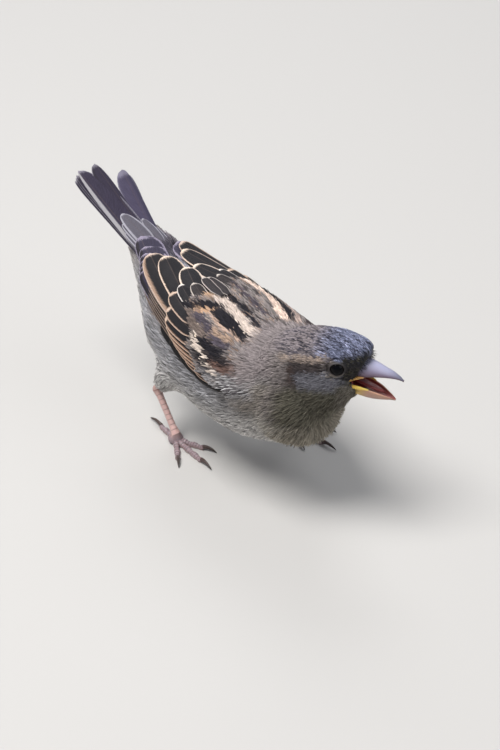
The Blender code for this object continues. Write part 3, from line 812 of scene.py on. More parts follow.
def tail_vane(side, root_across, tip_across, share, outer, inner, height):
    """A tail feather on its fan; v is 1 at the outer edge, away from the middle."""
    def surface(u, v):
        along = TAIL_START + (TAIL_LENGTH * share - TAIL_START) * u
        middle = root_across + (tip_across - root_across) * np.clip(
            along / (TAIL_LENGTH * share), -0.3, 1)
        half = np.where(v > 0, outer, inner) * vane_outline(
            u, 0.5 if inner > BROAD_WEB else 0.8, 0.4) * v * side
        lift = height + 0.9 * (1 - ((middle + half) / 11) ** 2) + 0.12 * (1 - v ** 2)
        lift = lift + 0.05 * np.exp(-(v / 0.1) ** 2) + TAIL_TILT * v
        return tail_points(along, middle + half, lift), np.tile(TAIL_UP, (len(u), 1))
    return surface


def make_tail():
    for name, feathers in TAIL_FEATHERS.items():
        tail = Feathers()
        for row in feathers:
            tail.add(tail_vane(SIDES[name], *row),
                     BROAD_MARKS if row[4] > BROAD_WEB else TAIL_MARKS[name])
        finish_piece(tail.build("tail_feathers_" + name, VANE), "flight_feather", "tail_" + name)


# Tail coverts in the tail's frame: root and tip across, root and tip along, width
TAIL_COVERTS = [
    (-5.2, -7, -2, 9.5, 3.8), (-4, -6.3, -1, 12.4, 4.2), (-2.6, -4.6, 0, 15.4, 6.2),
    (1.8, 2.2, -2, 8, 3.2), (0.8, 0.5, -1, 11.6, 3.6),
]
UNDERTAIL = [
    (-3.4, -5.2, -7, 5, 5), (2.8, 3, -7, 4.5, 5), (-2, -3.8, -6, 9.5, 5.2),
    (1.4, 1.6, -6, 9, 5.2), (-0.3, -1.4, -5, 12.5, 5.4),
]


def covert_vane(height, root, tip, start, end, width):
    """A soft feather over or under the tail's base, at height(u, v) above its middle."""
    def surface(u, v):
        across = root + (tip - root) * u + 0.5 * width * vane_outline(u, 0.4, 0.5) * v
        up = height(u, v)
        return (tail_points(start + (end - start) * u, across, up),
                np.tile(TAIL_UP * np.sign(up[0]), (len(u), 1)))
    return surface


def upper_height(u, v):
    return 0.9 + 1.9 - 1.5 * u ** 2 + 0.25 * (1 - v ** 2)


def under_height(u, v):
    return -(0.7 + 5.6 * (1 - u) ** 1.6 + 0.4 * (1 - v ** 2))


def make_tail_coverts():
    for name, rows, height, marks in (
            ("undertail_coverts", UNDERTAIL, under_height,
             style((116, 110, 106), (168, 162, 156), 0.4, 0.04)),
            ("tail_coverts", TAIL_COVERTS, upper_height,
             style((86, 83, 92), (150, 148, 157), 0.22, 0.04))):
        coverts = Feathers()
        for row in rows:
            coverts.add(covert_vane(height, *row), marks)
        finish_piece(coverts.build(name, VANE), "plumage_grey")


# ---- skin

FLESH = ("trunk", "neck", "head", "thigh_left", "thigh_right")
SKIN_INFLATE, SKIN_VOXEL, SKIN_SMOOTHING, JOINT_SETTLING = 0.35, 0.75, 6, 70
SKIN_SHADE = 0.75               # darker than the feathers over it: partly the down's own grey, partly painted shade under them
UNWRAP_ANGLE, UNWRAP_MARGIN, SEAM_GAP = math.radians(66), 0.002, 1e-6
# The rump's height over the tail's plane, along the tail, and its width, along the bird
RUMP_RISE = [-14, -2, 3, 8], [99, 6, 2.5, -0.4]
RUMP_WIDTH = [-38, -29, -20, -11], [0.72, 0.78, 0.88, 1]
# Depth of the coat over the skin, mm
DEPTH_HEAD, DEPTH_NECK, DEPTH_BODY, DEPTH_RUMP = 0.8, 1.3, 1.5, 0.9
DEPTH_THIGH, DEPTH_FACE = 0.8, 0.45


def coat_depth(p):
    h = bird_to_head(p)
    t, _ = body_place(p)
    away, along = thigh_axis(p)
    depth = DEPTH_BODY - (DEPTH_BODY - DEPTH_RUMP) * smooth(2, 0.5, t)
    depth = depth + (DEPTH_NECK - depth) * smooth(-26, -14, h[:, 0])
    depth = depth + (DEPTH_HEAD - depth) * head_share(p, -16)
    depth = depth + (DEPTH_THIGH - depth) * smooth(7.5, 5, away) * smooth(0.3, 0.6, along)
    face = smooth(5.5, 10.5, h[:, 0])
    return depth + (DEPTH_FACE - depth) * face


def joined_flesh():
    """The flesh solids as one closed mesh, each swollen to close the cuts between them."""
    joined = bmesh.new()
    for node in FLESH:
        part = bmesh.new()
        part.from_mesh(frame["nodes"][node].data)
        bmesh.ops.remove_doubles(part, verts=part.verts, dist=SEAM_GAP)
        part.normal_update()
        for v in part.verts:
            v.co += v.normal * SKIN_INFLATE * MM
        scrap = bpy.data.meshes.new("scrap")
        part.to_mesh(scrap)
        part.free()
        joined.from_mesh(scrap)
        bpy.data.meshes.remove(scrap)
    mesh = bpy.data.meshes.new("flesh")
    joined.to_mesh(mesh)
    joined.free()
    return mesh


def evaluated_copy(holder):
    graph = bpy.context.evaluated_depsgraph_get()
    return bpy.data.meshes.new_from_object(holder.evaluated_get(graph), depsgraph=graph)


def settled(points, edges, share, times):
    """Evens out hollows: moves points to their neighbours' middle by their share."""
    count = np.bincount(edges.ravel(), minlength=len(points))[:, None]
    for _ in range(times):
        total = np.zeros_like(points)
        np.add.at(total, edges[:, 0], points[edges[:, 1]])
        np.add.at(total, edges[:, 1], points[edges[:, 0]])
        points = points + share[:, None] * (total / count - points)
    return points


def relaxed(points, edges, times):
    """Smooths points by their neighbours without shrinking the form."""
    for step in (0.6, -0.61) * times:
        points = settled(points, edges, np.full(len(points), step), 1)
    return points


def face_normals(points, triangles):
    a, b, c = (points[triangles[:, i]] for i in range(3))
    return np.cross(b - a, c - a)


def vertex_normals(points, triangles):
    face = face_normals(points, triangles)
    normals = np.zeros_like(points)
    for i in range(3):
        np.add.at(normals, triangles[:, i], face)
    return unit(normals)


def shaped_skin(points, edges):
    """The joined flesh, smoothed, with full neck and thigh joints and a flat rump."""
    x = bird_to_head(points)[:, 0]
    points = relaxed(points, edges, SKIN_SMOOTHING)
    away, along = thigh_axis(points)
    share = np.maximum(0.75 * smooth(-30, -17, x) * smooth(-4, -11, x),
                       0.7 * smooth(11, 8, away) * smooth(0.55, 0.25, along))
    points = settled(points, edges, share, JOINT_SETTLING)
    # the rump runs flat onto the base of the tail
    place = points - TAIL_ROOT
    rise = place @ TAIL_UP - np.interp(place @ TAIL_BACK, *RUMP_RISE)
    points = points - TAIL_UP * np.maximum(rise, 0)[:, None]
    # and narrows towards it
    points[:, 1] *= np.interp(points[:, 0], *RUMP_WIDTH)
    return points


def make_skin():
    holder = bpy.data.objects.new("skin", joined_flesh())
    bpy.context.scene.collection.objects.link(holder)
    remesh = holder.modifiers.new("remesh", "REMESH")
    remesh.mode, remesh.voxel_size = "VOXEL", SKIN_VOXEL * MM
    mesh = evaluated_copy(holder)
    holder.modifiers.remove(remesh)
    holder.data = mesh
    points = shaped_skin(from_world(read(mesh.vertices, "co", 3)),
                         read(mesh.edges, "vertices", 2, np.int32))
    mesh.calc_loop_triangles()
    triangles = read(mesh.loop_triangles, "vertices", 3, np.int32)
    points = points - vertex_normals(points, triangles) * (
        coat_depth(points) + SKIN_INFLATE)[:, None]
    mesh.vertices.foreach_set("co", to_world(points).astype(np.float32).ravel())
    mesh.update()
    mesh.materials.clear()
    mesh.materials.append(SKIN)
    unwrap(holder)
    mesh.calc_loop_triangles()
    loops = read(mesh.loop_triangles, "loops", 3, np.int32)
    triangles = read(mesh.loop_triangles, "vertices", 3, np.int32)
    uv = read(mesh.uv_layers["OFBake"].data, "uv", 2, np.float32)
    # the skin and down carry the plumage's markings, darkened by SKIN_SHADE: partly their own
    # grey, partly painted shade under the small feathers
    add_colours(mesh, "plume", plumage(points) * SKIN_SHADE)
    mesh.shade_smooth()
    finish_piece(holder, "plumage_grey", *FLESH)
    return Surface(points, triangles, uv[loops])


def unwrap(holder):
    layers = holder.data.uv_layers
    for layer in list(layers):
        layers.remove(layer)
    layers.new(name="OFBake")
    for other in bpy.context.view_layer.objects:
        other.select_set(False)
    holder.select_set(True)
    bpy.context.view_layer.objects.active = holder
    bpy.ops.object.mode_set(mode="EDIT")
    bpy.ops.mesh.select_all(action="SELECT")
    bpy.ops.uv.smart_project(angle_limit=UNWRAP_ANGLE, island_margin=UNWRAP_MARGIN)
    bpy.ops.object.mode_set(mode="OBJECT")


# ---- plumage colours

def ripple(p, scale, seed):
    """A smooth wandering value between about -1 and 1."""
    rng = np.random.default_rng(seed)
    total = np.zeros(len(p))
    for _ in range(6):
        wave = rng.normal(0, 1, 3) / scale
        total += np.sin(p @ wave * 2.4 + rng.uniform(0, 6.28))
    return total / 3.4


def painted(base, *coats):
    """Colours painted over one another: each coat is a mask from 0 to 1 and a colour."""
    for mask, colour in coats:
        mask = np.clip(mask, 0, 1)[:, None]
        base = base * (1 - mask) + linear(*colour) * mask
    return base


def near_line(t, deg, line, half_width, soft=0.6):
    """1 on a line of (station, degrees) points, fading over its half width in mm."""
    line = np.array(line)
    order = np.argsort(line[:, 0])
    middle = np.interp(t, line[order, 0], line[order, 1])
    ends = smooth(line[:, 0].min() - 0.25, line[:, 0].min() + 0.05, t) * smooth(
        line[:, 0].max() + 0.25, line[:, 0].max() - 0.05, t)
    mm = np.abs(deg - middle) * 0.30
    return ends * (1 - smooth(half_width - soft * 0.5, half_width + soft * 0.5, mm))


# Streaks of the mantle: points (station, degrees), half width in mm, colour
BRACE, PINK_BUFF, ORANGE_BUFF = (186, 172, 162), (180, 154, 138), (170, 140, 114)
JET, SMOKE, CHESTNUT = (26, 24, 30), (70, 64, 72), (94, 73, 66)
MANTLE_STREAKS = {
    "right": [
        ([(3.5, 40), (4.3, 38), (4.9, 44), (5.5, 49)], 2.2, (104, 92, 86)),
        ([(5.45, 62), (6.2, 60), (6.7, 62)], 1.6, CHESTNUT),
        ([(3.1, 11), (3.6, 9.5), (4.05, 8), (4.8, 11), (5.5, 15), (6.2, 19), (6.7, 24)],
         1.8, BRACE),
        ([(3.1, 12.5), (3.55, 11.5), (3.9, 11)], 1.6, ORANGE_BUFF),
        ([(3.5, 0), (4.5, 0), (5.1, 2), (5.65, 5), (6.3, 10)], 0.7, JET),
        ([(3.55, 38), (3.85, 31), (4.15, 23.5), (4.5, 17)], 1.35, JET),
        ([(4.2, 31), (4.38, 26.5), (4.55, 23)], 1, (184, 150, 122)),
        ([(4.7, 27.5), (5.1, 29.5), (5.5, 31), (6.1, 33.5)], 0.5, PINK_BUFF),
        ([(4.6, 20.5), (4.85, 22.5), (5.4, 24.5), (6.2, 28)], 1.6, JET),
        ([(4.3, 34), (4.85, 37), (5.4, 41.5), (6, 43)], 1, SMOKE),
        ([(5.2, 36), (5.9, 38)], 0.6, (150, 128, 112)),
        ([(4.4, 52), (5.2, 49.5), (5.95, 51)], 1.3, JET),
        ([(4.9, 58), (5.6, 57), (6.3, 56)], 0.9, (40, 35, 37)),
        ([(4.7, 50.5), (5.05, 56.5), (5.45, 62), (5.8, 68), (6.05, 74)], 0.9, (196, 182, 170)),
        ([(5.1, 61), (5.5, 66), (5.9, 72)], 0.8, JET),
    ],
    "left": [
        ([(3, 36), (3.5, 41), (4.3, 40), (5, 36.5), (6, 31)], 1.3, JET),
        ([(3.2, 28), (3.6, 33.5), (3.95, 33), (4.65, 31), (5.3, 28), (6.1, 25)], 1.1,
         (204, 182, 168)),
        ([(4.25, 54), (4.75, 51), (5.6, 42), (6.9, 30)], 0.9, (160, 142, 134)),
        ([(3.2, 18), (3.9, 15), (4.6, 13.5), (5.5, 12)], 0.6, SMOKE),
        ([(3.3, 6), (3.9, 5), (4.6, 1.5), (5.2, 0)], 0.8, JET),
        ([(5, 56), (5.9, 52), (6.7, 44)], 1.2, (60, 52, 54)),
    ],
}


def mantle_streaks(p, t, deg, t_w, deg_w):
    streaked = smooth(2.8, 3.1, t) * smooth(7, 6.3, t)
    for name, side in SIDES.items():
        on_side = (np.sign(p[:, 1] - np.interp(t, np.arange(9), BODY[:, 1])) == side) | (deg < 1)
        for line, half, colour in MANTLE_STREAKS[name]:
            yield on_side * streaked * near_line(t_w, deg_w, line, half), colour


def body_colours(p):
    t, deg = body_place(p)
    deg_w, t_w = deg + 1.1 * ripple(p, 2.2, 5), t + 0.03 * ripple(p, 2, 6)
    mantle = smooth(2.9, 3.4, t)
    fleck = smooth(-0.05, 0.6, ripple(p * [0.3, 1.7, 1], 0.9, 7))
    warm = smooth(0.2, 0.8, ripple(p * [0.35, 1.5, 1], 1.1, 8)) * smooth(70, 60, deg)
    bend = smooth(5.9, 6.15, t_w) * smooth(7.4, 6.9, t_w) * smooth(66, 71, deg_w) * smooth(
        96, 88, deg_w)
    low = smooth(64, 84, deg_w) * (1 - bend)
    flank = smooth(58, 78, deg) * smooth(6.6, 5.4, t) * smooth(1, 2, t)
    return painted(
        plain(len(p), (122, 115, 113)),
        # mantle, grey-brown with soft dark flecks, and its streaks
        (0.9 * fleck * mantle, (56, 50, 52)),
        (0.6 * warm * mantle, (140, 114, 96)),
        *mantle_streaks(p, t, deg, t_w, deg_w),
        # silver-white streaks where the breast feathers cover the bend of the wing
        (bend, (92, 88, 90)),
        (bend * smooth(-0.1, 0.35, ripple(p * [0.35, 1.5, 1.5], 0.55, 9)), (172, 170, 170)),
        # nape
        (smooth(5.8, 6.5, t_w - 0.008 * deg) * smooth(86, 70, deg), (120, 112, 112)),
        # rump and tail coverts, with the grey strip between the wings
        (smooth(3.4, 2.9, t_w), (112, 106, 112)),
        # painted shade: the rump near black where it lies under the folded wings' tips, by the
        # tail
        (smooth(3, 2.4, t_w) * smooth(40, 25, deg_w) * smooth(0.4, 1, t), (58, 55, 64)),
        (smooth(7, 4, deg_w) * smooth(3.6, 3.2, t) * smooth(2.2, 2.6, t), (134, 134, 142)),
        # sides, breast and belly
        (low, (150, 149, 152)),
        (low * smooth(5.4, 6.8, t_w), (128, 121, 114)),
        (smooth(95, 125, deg_w), (190, 187, 184)),
        (smooth(95, 130, deg_w) * smooth(6, 7.4, t_w), (138, 131, 118)),
        (smooth(2.4, 1.2, t_w) * smooth(55, 85, deg), (166, 158, 152)),
        # long soft streaks of the flanks
        (0.55 * flank * smooth(0, 0.8, ripple(p * [0.22, 1.5, 1.5], 0.7, 12)), (92, 88, 86)))


def head_colours(p):
    h = bird_to_head(p)
    x, y, z = h[:, 0], np.abs(h[:, 1]), h[:, 2]
    wave = ripple(h, 1.6, 21)
    x_w, z_w = x + 0.35 * wave, z + 0.3 * ripple(h, 1.3, 22)
    off_middle = smooth(2.5, 4, y)
    crown = smooth(3.4, 5.2, z_w + 0.25 * smooth(3, 9, x) * x)
    fleck = ripple(h * [0.45, 2.2, 1.6], 0.55, 23)
    ear = smooth(-6.5, -4.5, x_w) * smooth(9.5, 7.5, x) * smooth(0.8, -0.4, z_w) * smooth(
        2, 4, y)
    brow_line = 3.9 - 0.07 * (5 - x)
    brow = (1 - smooth(0.6, 1.3, np.abs(z_w - brow_line))) * smooth(5.9, 3.6, x) * smooth(
        -10.5, -8, x_w) * off_middle
    behind = np.maximum(3.5 - x, 0)
    line_z, reach = 1.5 - 0.09 * behind, 0.5 + 0.07 * behind
    stripe = (1 - smooth(reach, reach + 1.7, np.abs(z_w - line_z))) * smooth(
        4.4, 3.2, x) * smooth(-7.5, -5.5, x_w) * off_middle
    border_x = -5.6 + 0.035 * (z + 2) ** 2
    border = (1 - smooth(0.6, 1.5, np.abs(x_w - border_x))) * smooth(1.2, 0.2, z) * smooth(
        -8, -6.5, z) * smooth(3, 5, y)
    lores = smooth(7, 8.4, x_w) * smooth(5.4, 3.2, z_w) * smooth(-4.4, -3.2, z_w)
    eye = np.hypot(x - EYE_PLACE[0], z - EYE_PLACE[2])
    ring = (1 - smooth(2.5, 2.9, eye)) * (y > 3)
    return painted(
        plain(len(p), (112, 105, 103)),
        # crown, going slate on the forehead; the blue of the slate and the pale blue flecks are a
        # painted reflection of the sky on the top of the head
        (crown, (122, 114, 116)),
        (crown * smooth(-1.5, 6.5, x), (108, 113, 136)),
        (crown * smooth(0, 0.5, fleck) * 0.9, (42, 41, 52)),
        (crown * smooth(-0.3, -0.8, fleck) * smooth(-2, 5, x), (142, 146, 170)),
        # ear coverts and cheek, and the sandy brow from above the eye to the nape
        (ear, (116, 115, 121)),
        (brow * (0.62 + 0.38 * np.clip(wave, -1, 1)), (150, 134, 122)),
        # dark line behind the eye, curving down behind the ear coverts
        (stripe * 0.88, (54, 47, 47)),
        (border * 0.8, (70, 58, 54)),
        # throat and chin, darker than the head: partly their own greyer brown, partly painted
        # shade under the head
        (smooth(-4.5, -7.5, z_w) * smooth(-12, -6, x), (100, 96, 84)),
        (smooth(-3.4, -4.8, z_w) * smooth(5.5, 7.5, x), (104, 99, 90)),
        # dark lores, from the eye to the base of the bill, and the dusky bill base
        (lores * 0.94, (38, 36, 35)),
        (lores * smooth(0.3, 0.9, ripple(h, 0.5, 25)) * 0.5, (96, 92, 72)),
        # narrow pale ring under the eye
        (ring * smooth(0.2, -0.8, z), (138, 130, 122)))


def thigh_axis(p):
    """Distance to the nearer thigh's axis and the share from hip to ankle."""
    best, share = np.full(len(p), 99), np.zeros(len(p))
    for leg in LEGS.values():
        hip, ankle = np.array(leg["hip"]), np.array(leg["ankle"])
        along = np.clip(((p - hip) @ (ankle - hip)) / np.sum((ankle - hip) ** 2), 0, 1)
        away = np.linalg.norm(p - hip - along[:, None] * (ankle - hip), axis=1)
        nearer = away < best
        best, share = np.where(nearer, away, best), np.where(nearer, along, share)
    return best, share


def head_share(p, start=-15, end=-9):
    """1 on the head, 0 on the body, blended over the neck."""
    h = bird_to_head(p)
    return smooth(start, end, h[:, 0]) * smooth(15, 11.5, np.abs(h[:, 1])) * smooth(
        -19, -15, h[:, 2])


def plumage(p):
    """Plumage colour at points near the bird's surface, in linear light."""
    share = head_share(p)[:, None]
    away, along = thigh_axis(p)
    # the feathered tibia painted dark: partly its own brown-grey, partly painted shade under the
    # belly
    tibia = smooth(8, 5.5, away) * smooth(0.3, 0.65, along)
    return painted(body_colours(p) * (1 - share) + head_colours(p) * share,
                   (tibia * 0.9, (62, 58, 52)))


def lie(p, normal):
    """Direction in which the small feathers point, along the surface."""
    h = bird_to_head(p)
    t, _ = body_place(p)
    _, forward, up, _ = body_frame(np.clip(t, 0, 8))
    body = -forward - 0.10 * up * smooth(0, 10, np.abs(p[:, 1:2]))
    from_bill = unit(h - np.array([15, 0, -1]))
    head = from_bill @ HEAD_TURN.T
    share = head_share(p, -20, -6)[:, None]
    flow = unit(body) * (1 - share) + head * share
    away, along = thigh_axis(p)
    for leg in LEGS.values():
        down = unit(np.array(leg["ankle"]) - np.array(leg["hip"]))
        on_leg = (smooth(7.5, 4.5, away) * smooth(0.1, 0.4, along)
                  * (np.sign(p[:, 1]) == np.sign(leg["ankle"][1])))[:, None]
        flow = flow * (1 - on_leg) + down * on_leg
    flow = flow - np.sum(flow * normal, 1, keepdims=True) * normal
    return unit(flow)


# ---- coat

TUFT_ROWS = np.array([0, 0.32, 0.62, 0.86])
TUFT_WIDTHS = np.array([0.75, 1, 0.86, 0.5])
BAKE_PATCH = 0.003


class Surface:
    """A triangle surface to root small feathers on, with its unwrap."""

    def __init__(self, points, triangles, uv):
        self.points, self.triangles, self.uv = points, triangles, uv
        self.normals = vertex_normals(points, triangles)
        self.tree = BVHTree.FromPolygons(points.tolist(), triangles.tolist())
        self.area = 0.5 * np.linalg.norm(face_normals(points, triangles), axis=1)
        self.middle = points[triangles].mean(1)

    def scatter(self, density, rng):
        """Evenly spread roots: places, normals and unwrap places, density per square mm."""
        share = self.area * density(self.middle)
        face = np.repeat(np.arange(len(share)), rng.poisson(share))
        r1, r2 = np.sqrt(rng.random(len(face))), rng.random(len(face))
        weights = np.stack([1 - r1, r1 * (1 - r2), r1 * r2], 1)
        corners = self.triangles[face]
        p, n, uv = (np.einsum("ij,ijk->ik", weights, values) for values in (
            self.points[corners], self.normals[corners], self.uv[face]))
        return p, unit(n), uv

    def nearest(self, p, normal):
        """The closest surface points and their normals."""
        out_p, out_n = p.copy(), normal.copy()
        for i, q in enumerate(p.tolist()):
            hit = self.tree.find_nearest(q)
            if hit[0] is not None:
                out_p[i], out_n[i] = hit[0], hit[1]
        return out_p, unit(out_n * 0.6 + normal * 0.4)


def grid_triangles(points, grid, outward, uv):
    """Triangles of a grid of point numbers, turned to the way outward gives, and their maps."""
    a, b, c, d = cells(grid)
    tris = np.concatenate([np.stack([a, b, c], -1).reshape(-1, 3),
                           np.stack([a, c, d], -1).reshape(-1, 3)])
    flip = np.sum(face_normals(points, tris) * outward(tris), 1) < 0
    tris[flip] = tris[flip][:, ::-1]
    return tris, 0.05 + 0.9 * uv[tris]


def tuft_faces():
    """Triangles of one tuft: three points to a row, and one at the tip."""
    faces, last = [], 3 * (len(TUFT_ROWS) - 1)
    for i in (3 * k + a for k in range(len(TUFT_ROWS) - 1) for a in (0, 1)):
        faces += [(i, i + 1, i + 4), (i, i + 4, i + 3)]
    return np.array(faces + [(last, last + 1, last + 3), (last + 1, last + 2, last + 3)])


TUFT_FACES = tuft_faces()


def grow(surface, roots, normals, uv, look, rng):
    """Tufts that follow the surface from their roots, as one set of mesh arrays.

    look holds each root's length, width and depth, the spread in degrees, and how far
    tone and place of colour vary.
    """
    n = len(roots)
    length, width, depth = look["length"], look["width"], look["depth"]
    places = np.append(TUFT_ROWS, 1)
    at, normal = roots.copy(), normals.copy()
    sway = rng.normal(0, np.radians(look["spread"]), n)
    rows = []
    for k, u in enumerate(places):
        flow = lie(at, normal)
        side = np.cross(normal, flow)
        yaw = sway * (0.5 + 0.8 * u)
        flow = flow * np.cos(yaw)[:, None] + side * np.sin(yaw)[:, None]
        rows.append((at, unit(np.cross(normal, flow)), normal))
        if k < len(places) - 1:
            step = (places[k + 1] - u) * length
            at, normal = surface.nearest(at + flow * step[:, None], normal)
    tone = 1 + look["tone"] * rng.normal(0, 1, n)
    colour = plumage(roots + normals * depth[:, None]
                     + rng.normal(0, look["mix"], (n, 3)) * (length * 0.25)[:, None])
    colour = colour * np.clip(tone, 0.5, 1.7)[:, None]
    verts, colours, maps = [], [], []
    roll = rng.normal(0, 0.25, n)
    for u, share, (at, side, up) in zip(TUFT_ROWS, TUFT_WIDTHS, rows):
        height = depth * (0.10 + 0.90 * u ** 0.8)
        half = 0.5 * width * share
        for across in (-1, 0, 1):
            crown = 0.16 * width * (1 - abs(across)) * (0.4 + u)
            lift = height + crown + roll * across * half * 0.6
            verts.append(at + side * (across * half)[:, None] + up * lift[:, None])
            # darker at the root and lighter toward the tip: partly the feather's own darker base,
            # partly painted shade where each root lies under the feathers before it; the edges a
            # little paler by pattern
            colours.append(colour * (0.50 + 0.62 * u + 0.10 * abs(across)))
            maps.append((0.5 + 0.5 * across, u))
    verts.append(rows[-1][0] + rows[-1][2] * depth[:, None])
    # the tip point lightest of all, painted light on the feather's free end
    colours.append(colour * 1.22)
    maps = np.tile(np.array(maps + [(0.5, 1)]), (n, 1))
    per = len(verts)
    return {
        "verts": np.stack(verts, 1).reshape(-1, 3),
        "faces": (TUFT_FACES[None] + per * np.arange(n)[:, None, None]).reshape(-1, 3),
        "colours": {"plume": np.stack(colours, 1).reshape(-1, 3)},
        "uv": maps + np.repeat(rng.random((n, 1)) * 7, per, 0) * [1, 0],
        "bake": np.clip(np.repeat(uv, per, 0) + (maps - 0.5) * BAKE_PATCH, 0, 1)}


PIECE_LIMIT = 190000 // len(TUFT_FACES)      # tufts in one piece, under 200,000 triangles


def picked(look, chosen):
    return {k: v[chosen] if isinstance(v, np.ndarray) else v for k, v in look.items()}


def coat_piece(name, slot, surface, roots, normals, uv, look, rng):
    parts = max(1, math.ceil(len(roots) / PIECE_LIMIT))
    for i, chosen in enumerate(np.array_split(np.argsort(roots[:, 0]), parts)):
        made = grow(surface, roots[chosen], normals[chosen], uv[chosen],
                    picked(look, chosen), rng)
        piece = mesh_object(name if parts == 1 else f"{name}_{i + 1}", mat=COAT, **made)
        finish_piece(piece, slot)


def wing_cover(t, deg):
    """1 under the folded wings, where no small feathers are needed."""
    upper = np.interp(t, [1.3, 2.9, 3.9, 4.8, 5.4, 6.1], [12, 16, 24, 34, 45, 66])
    lower = np.interp(t, [1.3, 2.9, 3.9, 4.8, 5.4, 6.1], [54, 66, 74, 83, 88, 87])
    return (deg > upper + 5) & (deg < lower - 5) & (t > 1.9) & (t < 5.9)


def in_mouth(h):
    """1 inside the open mouth and in front of the bill's base."""
    x, z = h[:, 0], h[:, 2]
    between = (x > 7.2) & (z < -2.1) & (z > -3.4 - 0.58 * (x - 7.2))
    return between | ((x > 11.4 + 0.5 * z) & (z > -3) & (x > 10.4))


def near_eye(h):
    """1 over the eyes' openings."""
    away = np.hypot((h[:, 0] - EYE_PLACE[0] + 0.3) / LID_OPENING[0],
                    (h[:, 2] - EYE_PLACE[2]) / LID_OPENING[1])
    return (away < 1.08) & (np.abs(h[:, 1]) > 3)


def coat_density(p):
    """Small feathers on each square mm of skin."""
    h = bird_to_head(p)
    t, deg = body_place(p)
    out = np.where(deg < 50, 4.5, 3.6) + 1.2 * smooth(5.6, 7, t)
    out = out + (7 - out) * smooth(-20, -12, h[:, 0])
    out = out + (12 - out) * smooth(-11, -6, h[:, 0])
    out = out + 9 * smooth(2, 7, h[:, 0])
    away, along = thigh_axis(p)
    out = np.where((away < 7) & (along > 0.35), 6, out)
    out = np.where(wing_cover(t, deg) & (h[:, 0] < -14), 0.25, out)
    return np.where(in_mouth(h) | near_eye(h), 0, out)


def varied(length, width, depth, spread, rng, tall=(0.7, 1.25)):
    """Length, width and standing height of each small feather, about their middle values."""
    n = len(depth)
    return {"length": length * rng.uniform(0.75, 1.25, n),
            "width": width * rng.uniform(0.7, 1.3, n),
            "depth": depth * rng.uniform(*tall, n), "spread": spread}


def coat_look(p, rng):
    h = bird_to_head(p)
    t, deg = body_place(p)
    low = smooth(60, 85, deg) * smooth(6.8, 5, t)
    length, width = 4.8 + 2.4 * low, 0.75 - 0.05 * low
    neck, head = smooth(-26, -13, h[:, 0]), smooth(-13, -5, h[:, 0])
    face = smooth(1.5, 8, h[:, 0])
    away, along = thigh_axis(p)
    leg = smooth(7.5, 5, away) * smooth(0.3, 0.6, along)
    for share, long, wide in ((neck, 3, 0.55), (head, 2.1, 0.42), (face, 1.25, 0.30),
                              (leg, 2.8, 0.5)):
        length, width = length + (long - length) * share, width + (wide - width) * share
    # the throat and upper breast are fluffed out
    bib = smooth(40, 52, p[:, 0]) * smooth(-5, -12, h[:, 2]) * smooth(
        9, 6, h[:, 0]) * smooth(20, 31, p[:, 2])
    look = varied(length + 2.2 * bib, width, coat_depth(p) + 2.7 * bib, 9 + 3 * low, rng)
    return {**look, "tone": 0.22 + 0.16 * face, "mix": 0.4}


def part_of(p):
    """Names of the coat's regions, point by point."""
    x = bird_to_head(p)[:, 0]
    t, deg = body_place(p)
    out = np.full(len(p), "belly_feathers", dtype="U24")
    for name, there in (("back", deg < 60), ("rump", t < 2.6), ("breast", (t > 6.2) & (deg >= 60)),
                        ("neck", x > -18), ("head", x > -7.5)):
        out[there] = name + "_feathers"
    return out


def make_coat(surface, rng):
    p, n, uv = surface.scatter(coat_density, rng)
    look = coat_look(p, rng)
    parts = part_of(p)
    for name in sorted(set(parts)):
        chosen = parts == name
        slot = "plumage_brown" if name[:4] in ("head", "neck", "back") else "plumage_grey"
        coat_piece(name, slot, surface, p[chosen], n[chosen], uv[chosen],
                   picked(look, chosen), rng)


PAD_GRID = (40, 30)


def pad_surface(name, stations, angles, height):
    """Part of the body's surface raised to the height given by height(t, degrees)."""
    t, deg = np.meshgrid(np.linspace(*stations, PAD_GRID[0]), np.linspace(*angles, PAD_GRID[1]),
                         indexing="ij")
    grid = np.arange(t.size).reshape(t.shape)
    t, deg = t.ravel(), deg.ravel()
    points = body_point(t, SIDES[name], deg, height(t, deg) * WING_LIFT[name])
    inside = body_point(t, SIDES[name], deg, -5)
    uv = np.stack([(t - stations[0]) / (stations[1] - stations[0]),
                   (deg - angles[0]) / (angles[1] - angles[0])], 1)
    return Surface(points, *grid_triangles(
        points, grid, lambda tris: points[tris].mean(1) - inside[tris].mean(1), uv))


def scapular_height(t, deg):
    edge = np.interp(t, [3.9, 4.8, 5.4, 5.8, 6.1], [24, 29, 38, 50, 56])
    over_wing = smooth(edge - 22, edge, deg) * smooth(2.9, 3.8, t) * smooth(6.8, 5.7, t)
    return 0.3 + 2.7 * over_wing


def shoulder_height(t, deg):
    return 0.2 + 1.9 * smooth(7.1, 6, t) * smooth(30, 55, deg) * smooth(108, 84, deg)


def scapular_share(p, t, deg):
    """1 within the pad's edge toward the wing, with a wandering border."""
    edge = np.interp(t, [3.3, 3.5, 3.9, 4.4, 4.65, 4.95, 5.35, 5.8, 6.2],
                     [18, 31, 38, 46, 58, 66, 72, 80, 83])
    return (deg < edge + 1.5 * ripple(p, 2, 41)) * (
        t > 3.2 + 0.16 * smooth(8, 14, deg) + 0.06 * ripple(p, 1.5, 42))


def shoulder_share(p, t, deg):
    return t > 6.1 + 0.12 * ripple(p, 2.5, 43) + 0.006 * (deg - 60)


# Pads of long feathers over the wings: stations, angles, height, where feathers root and
# how many to a square mm, their length and width
PADS = {
    "scapular_feathers": (
        (3.1, 6.8), (0, 86), scapular_height, scapular_share, 6, 3.4, 0.55),
    "shoulder_feathers": (
        (5.9, 7.3), (36, 102), shoulder_height, shoulder_share, 5, 4.4, 0.5),
}
PAD_HEIGHT = 0.6


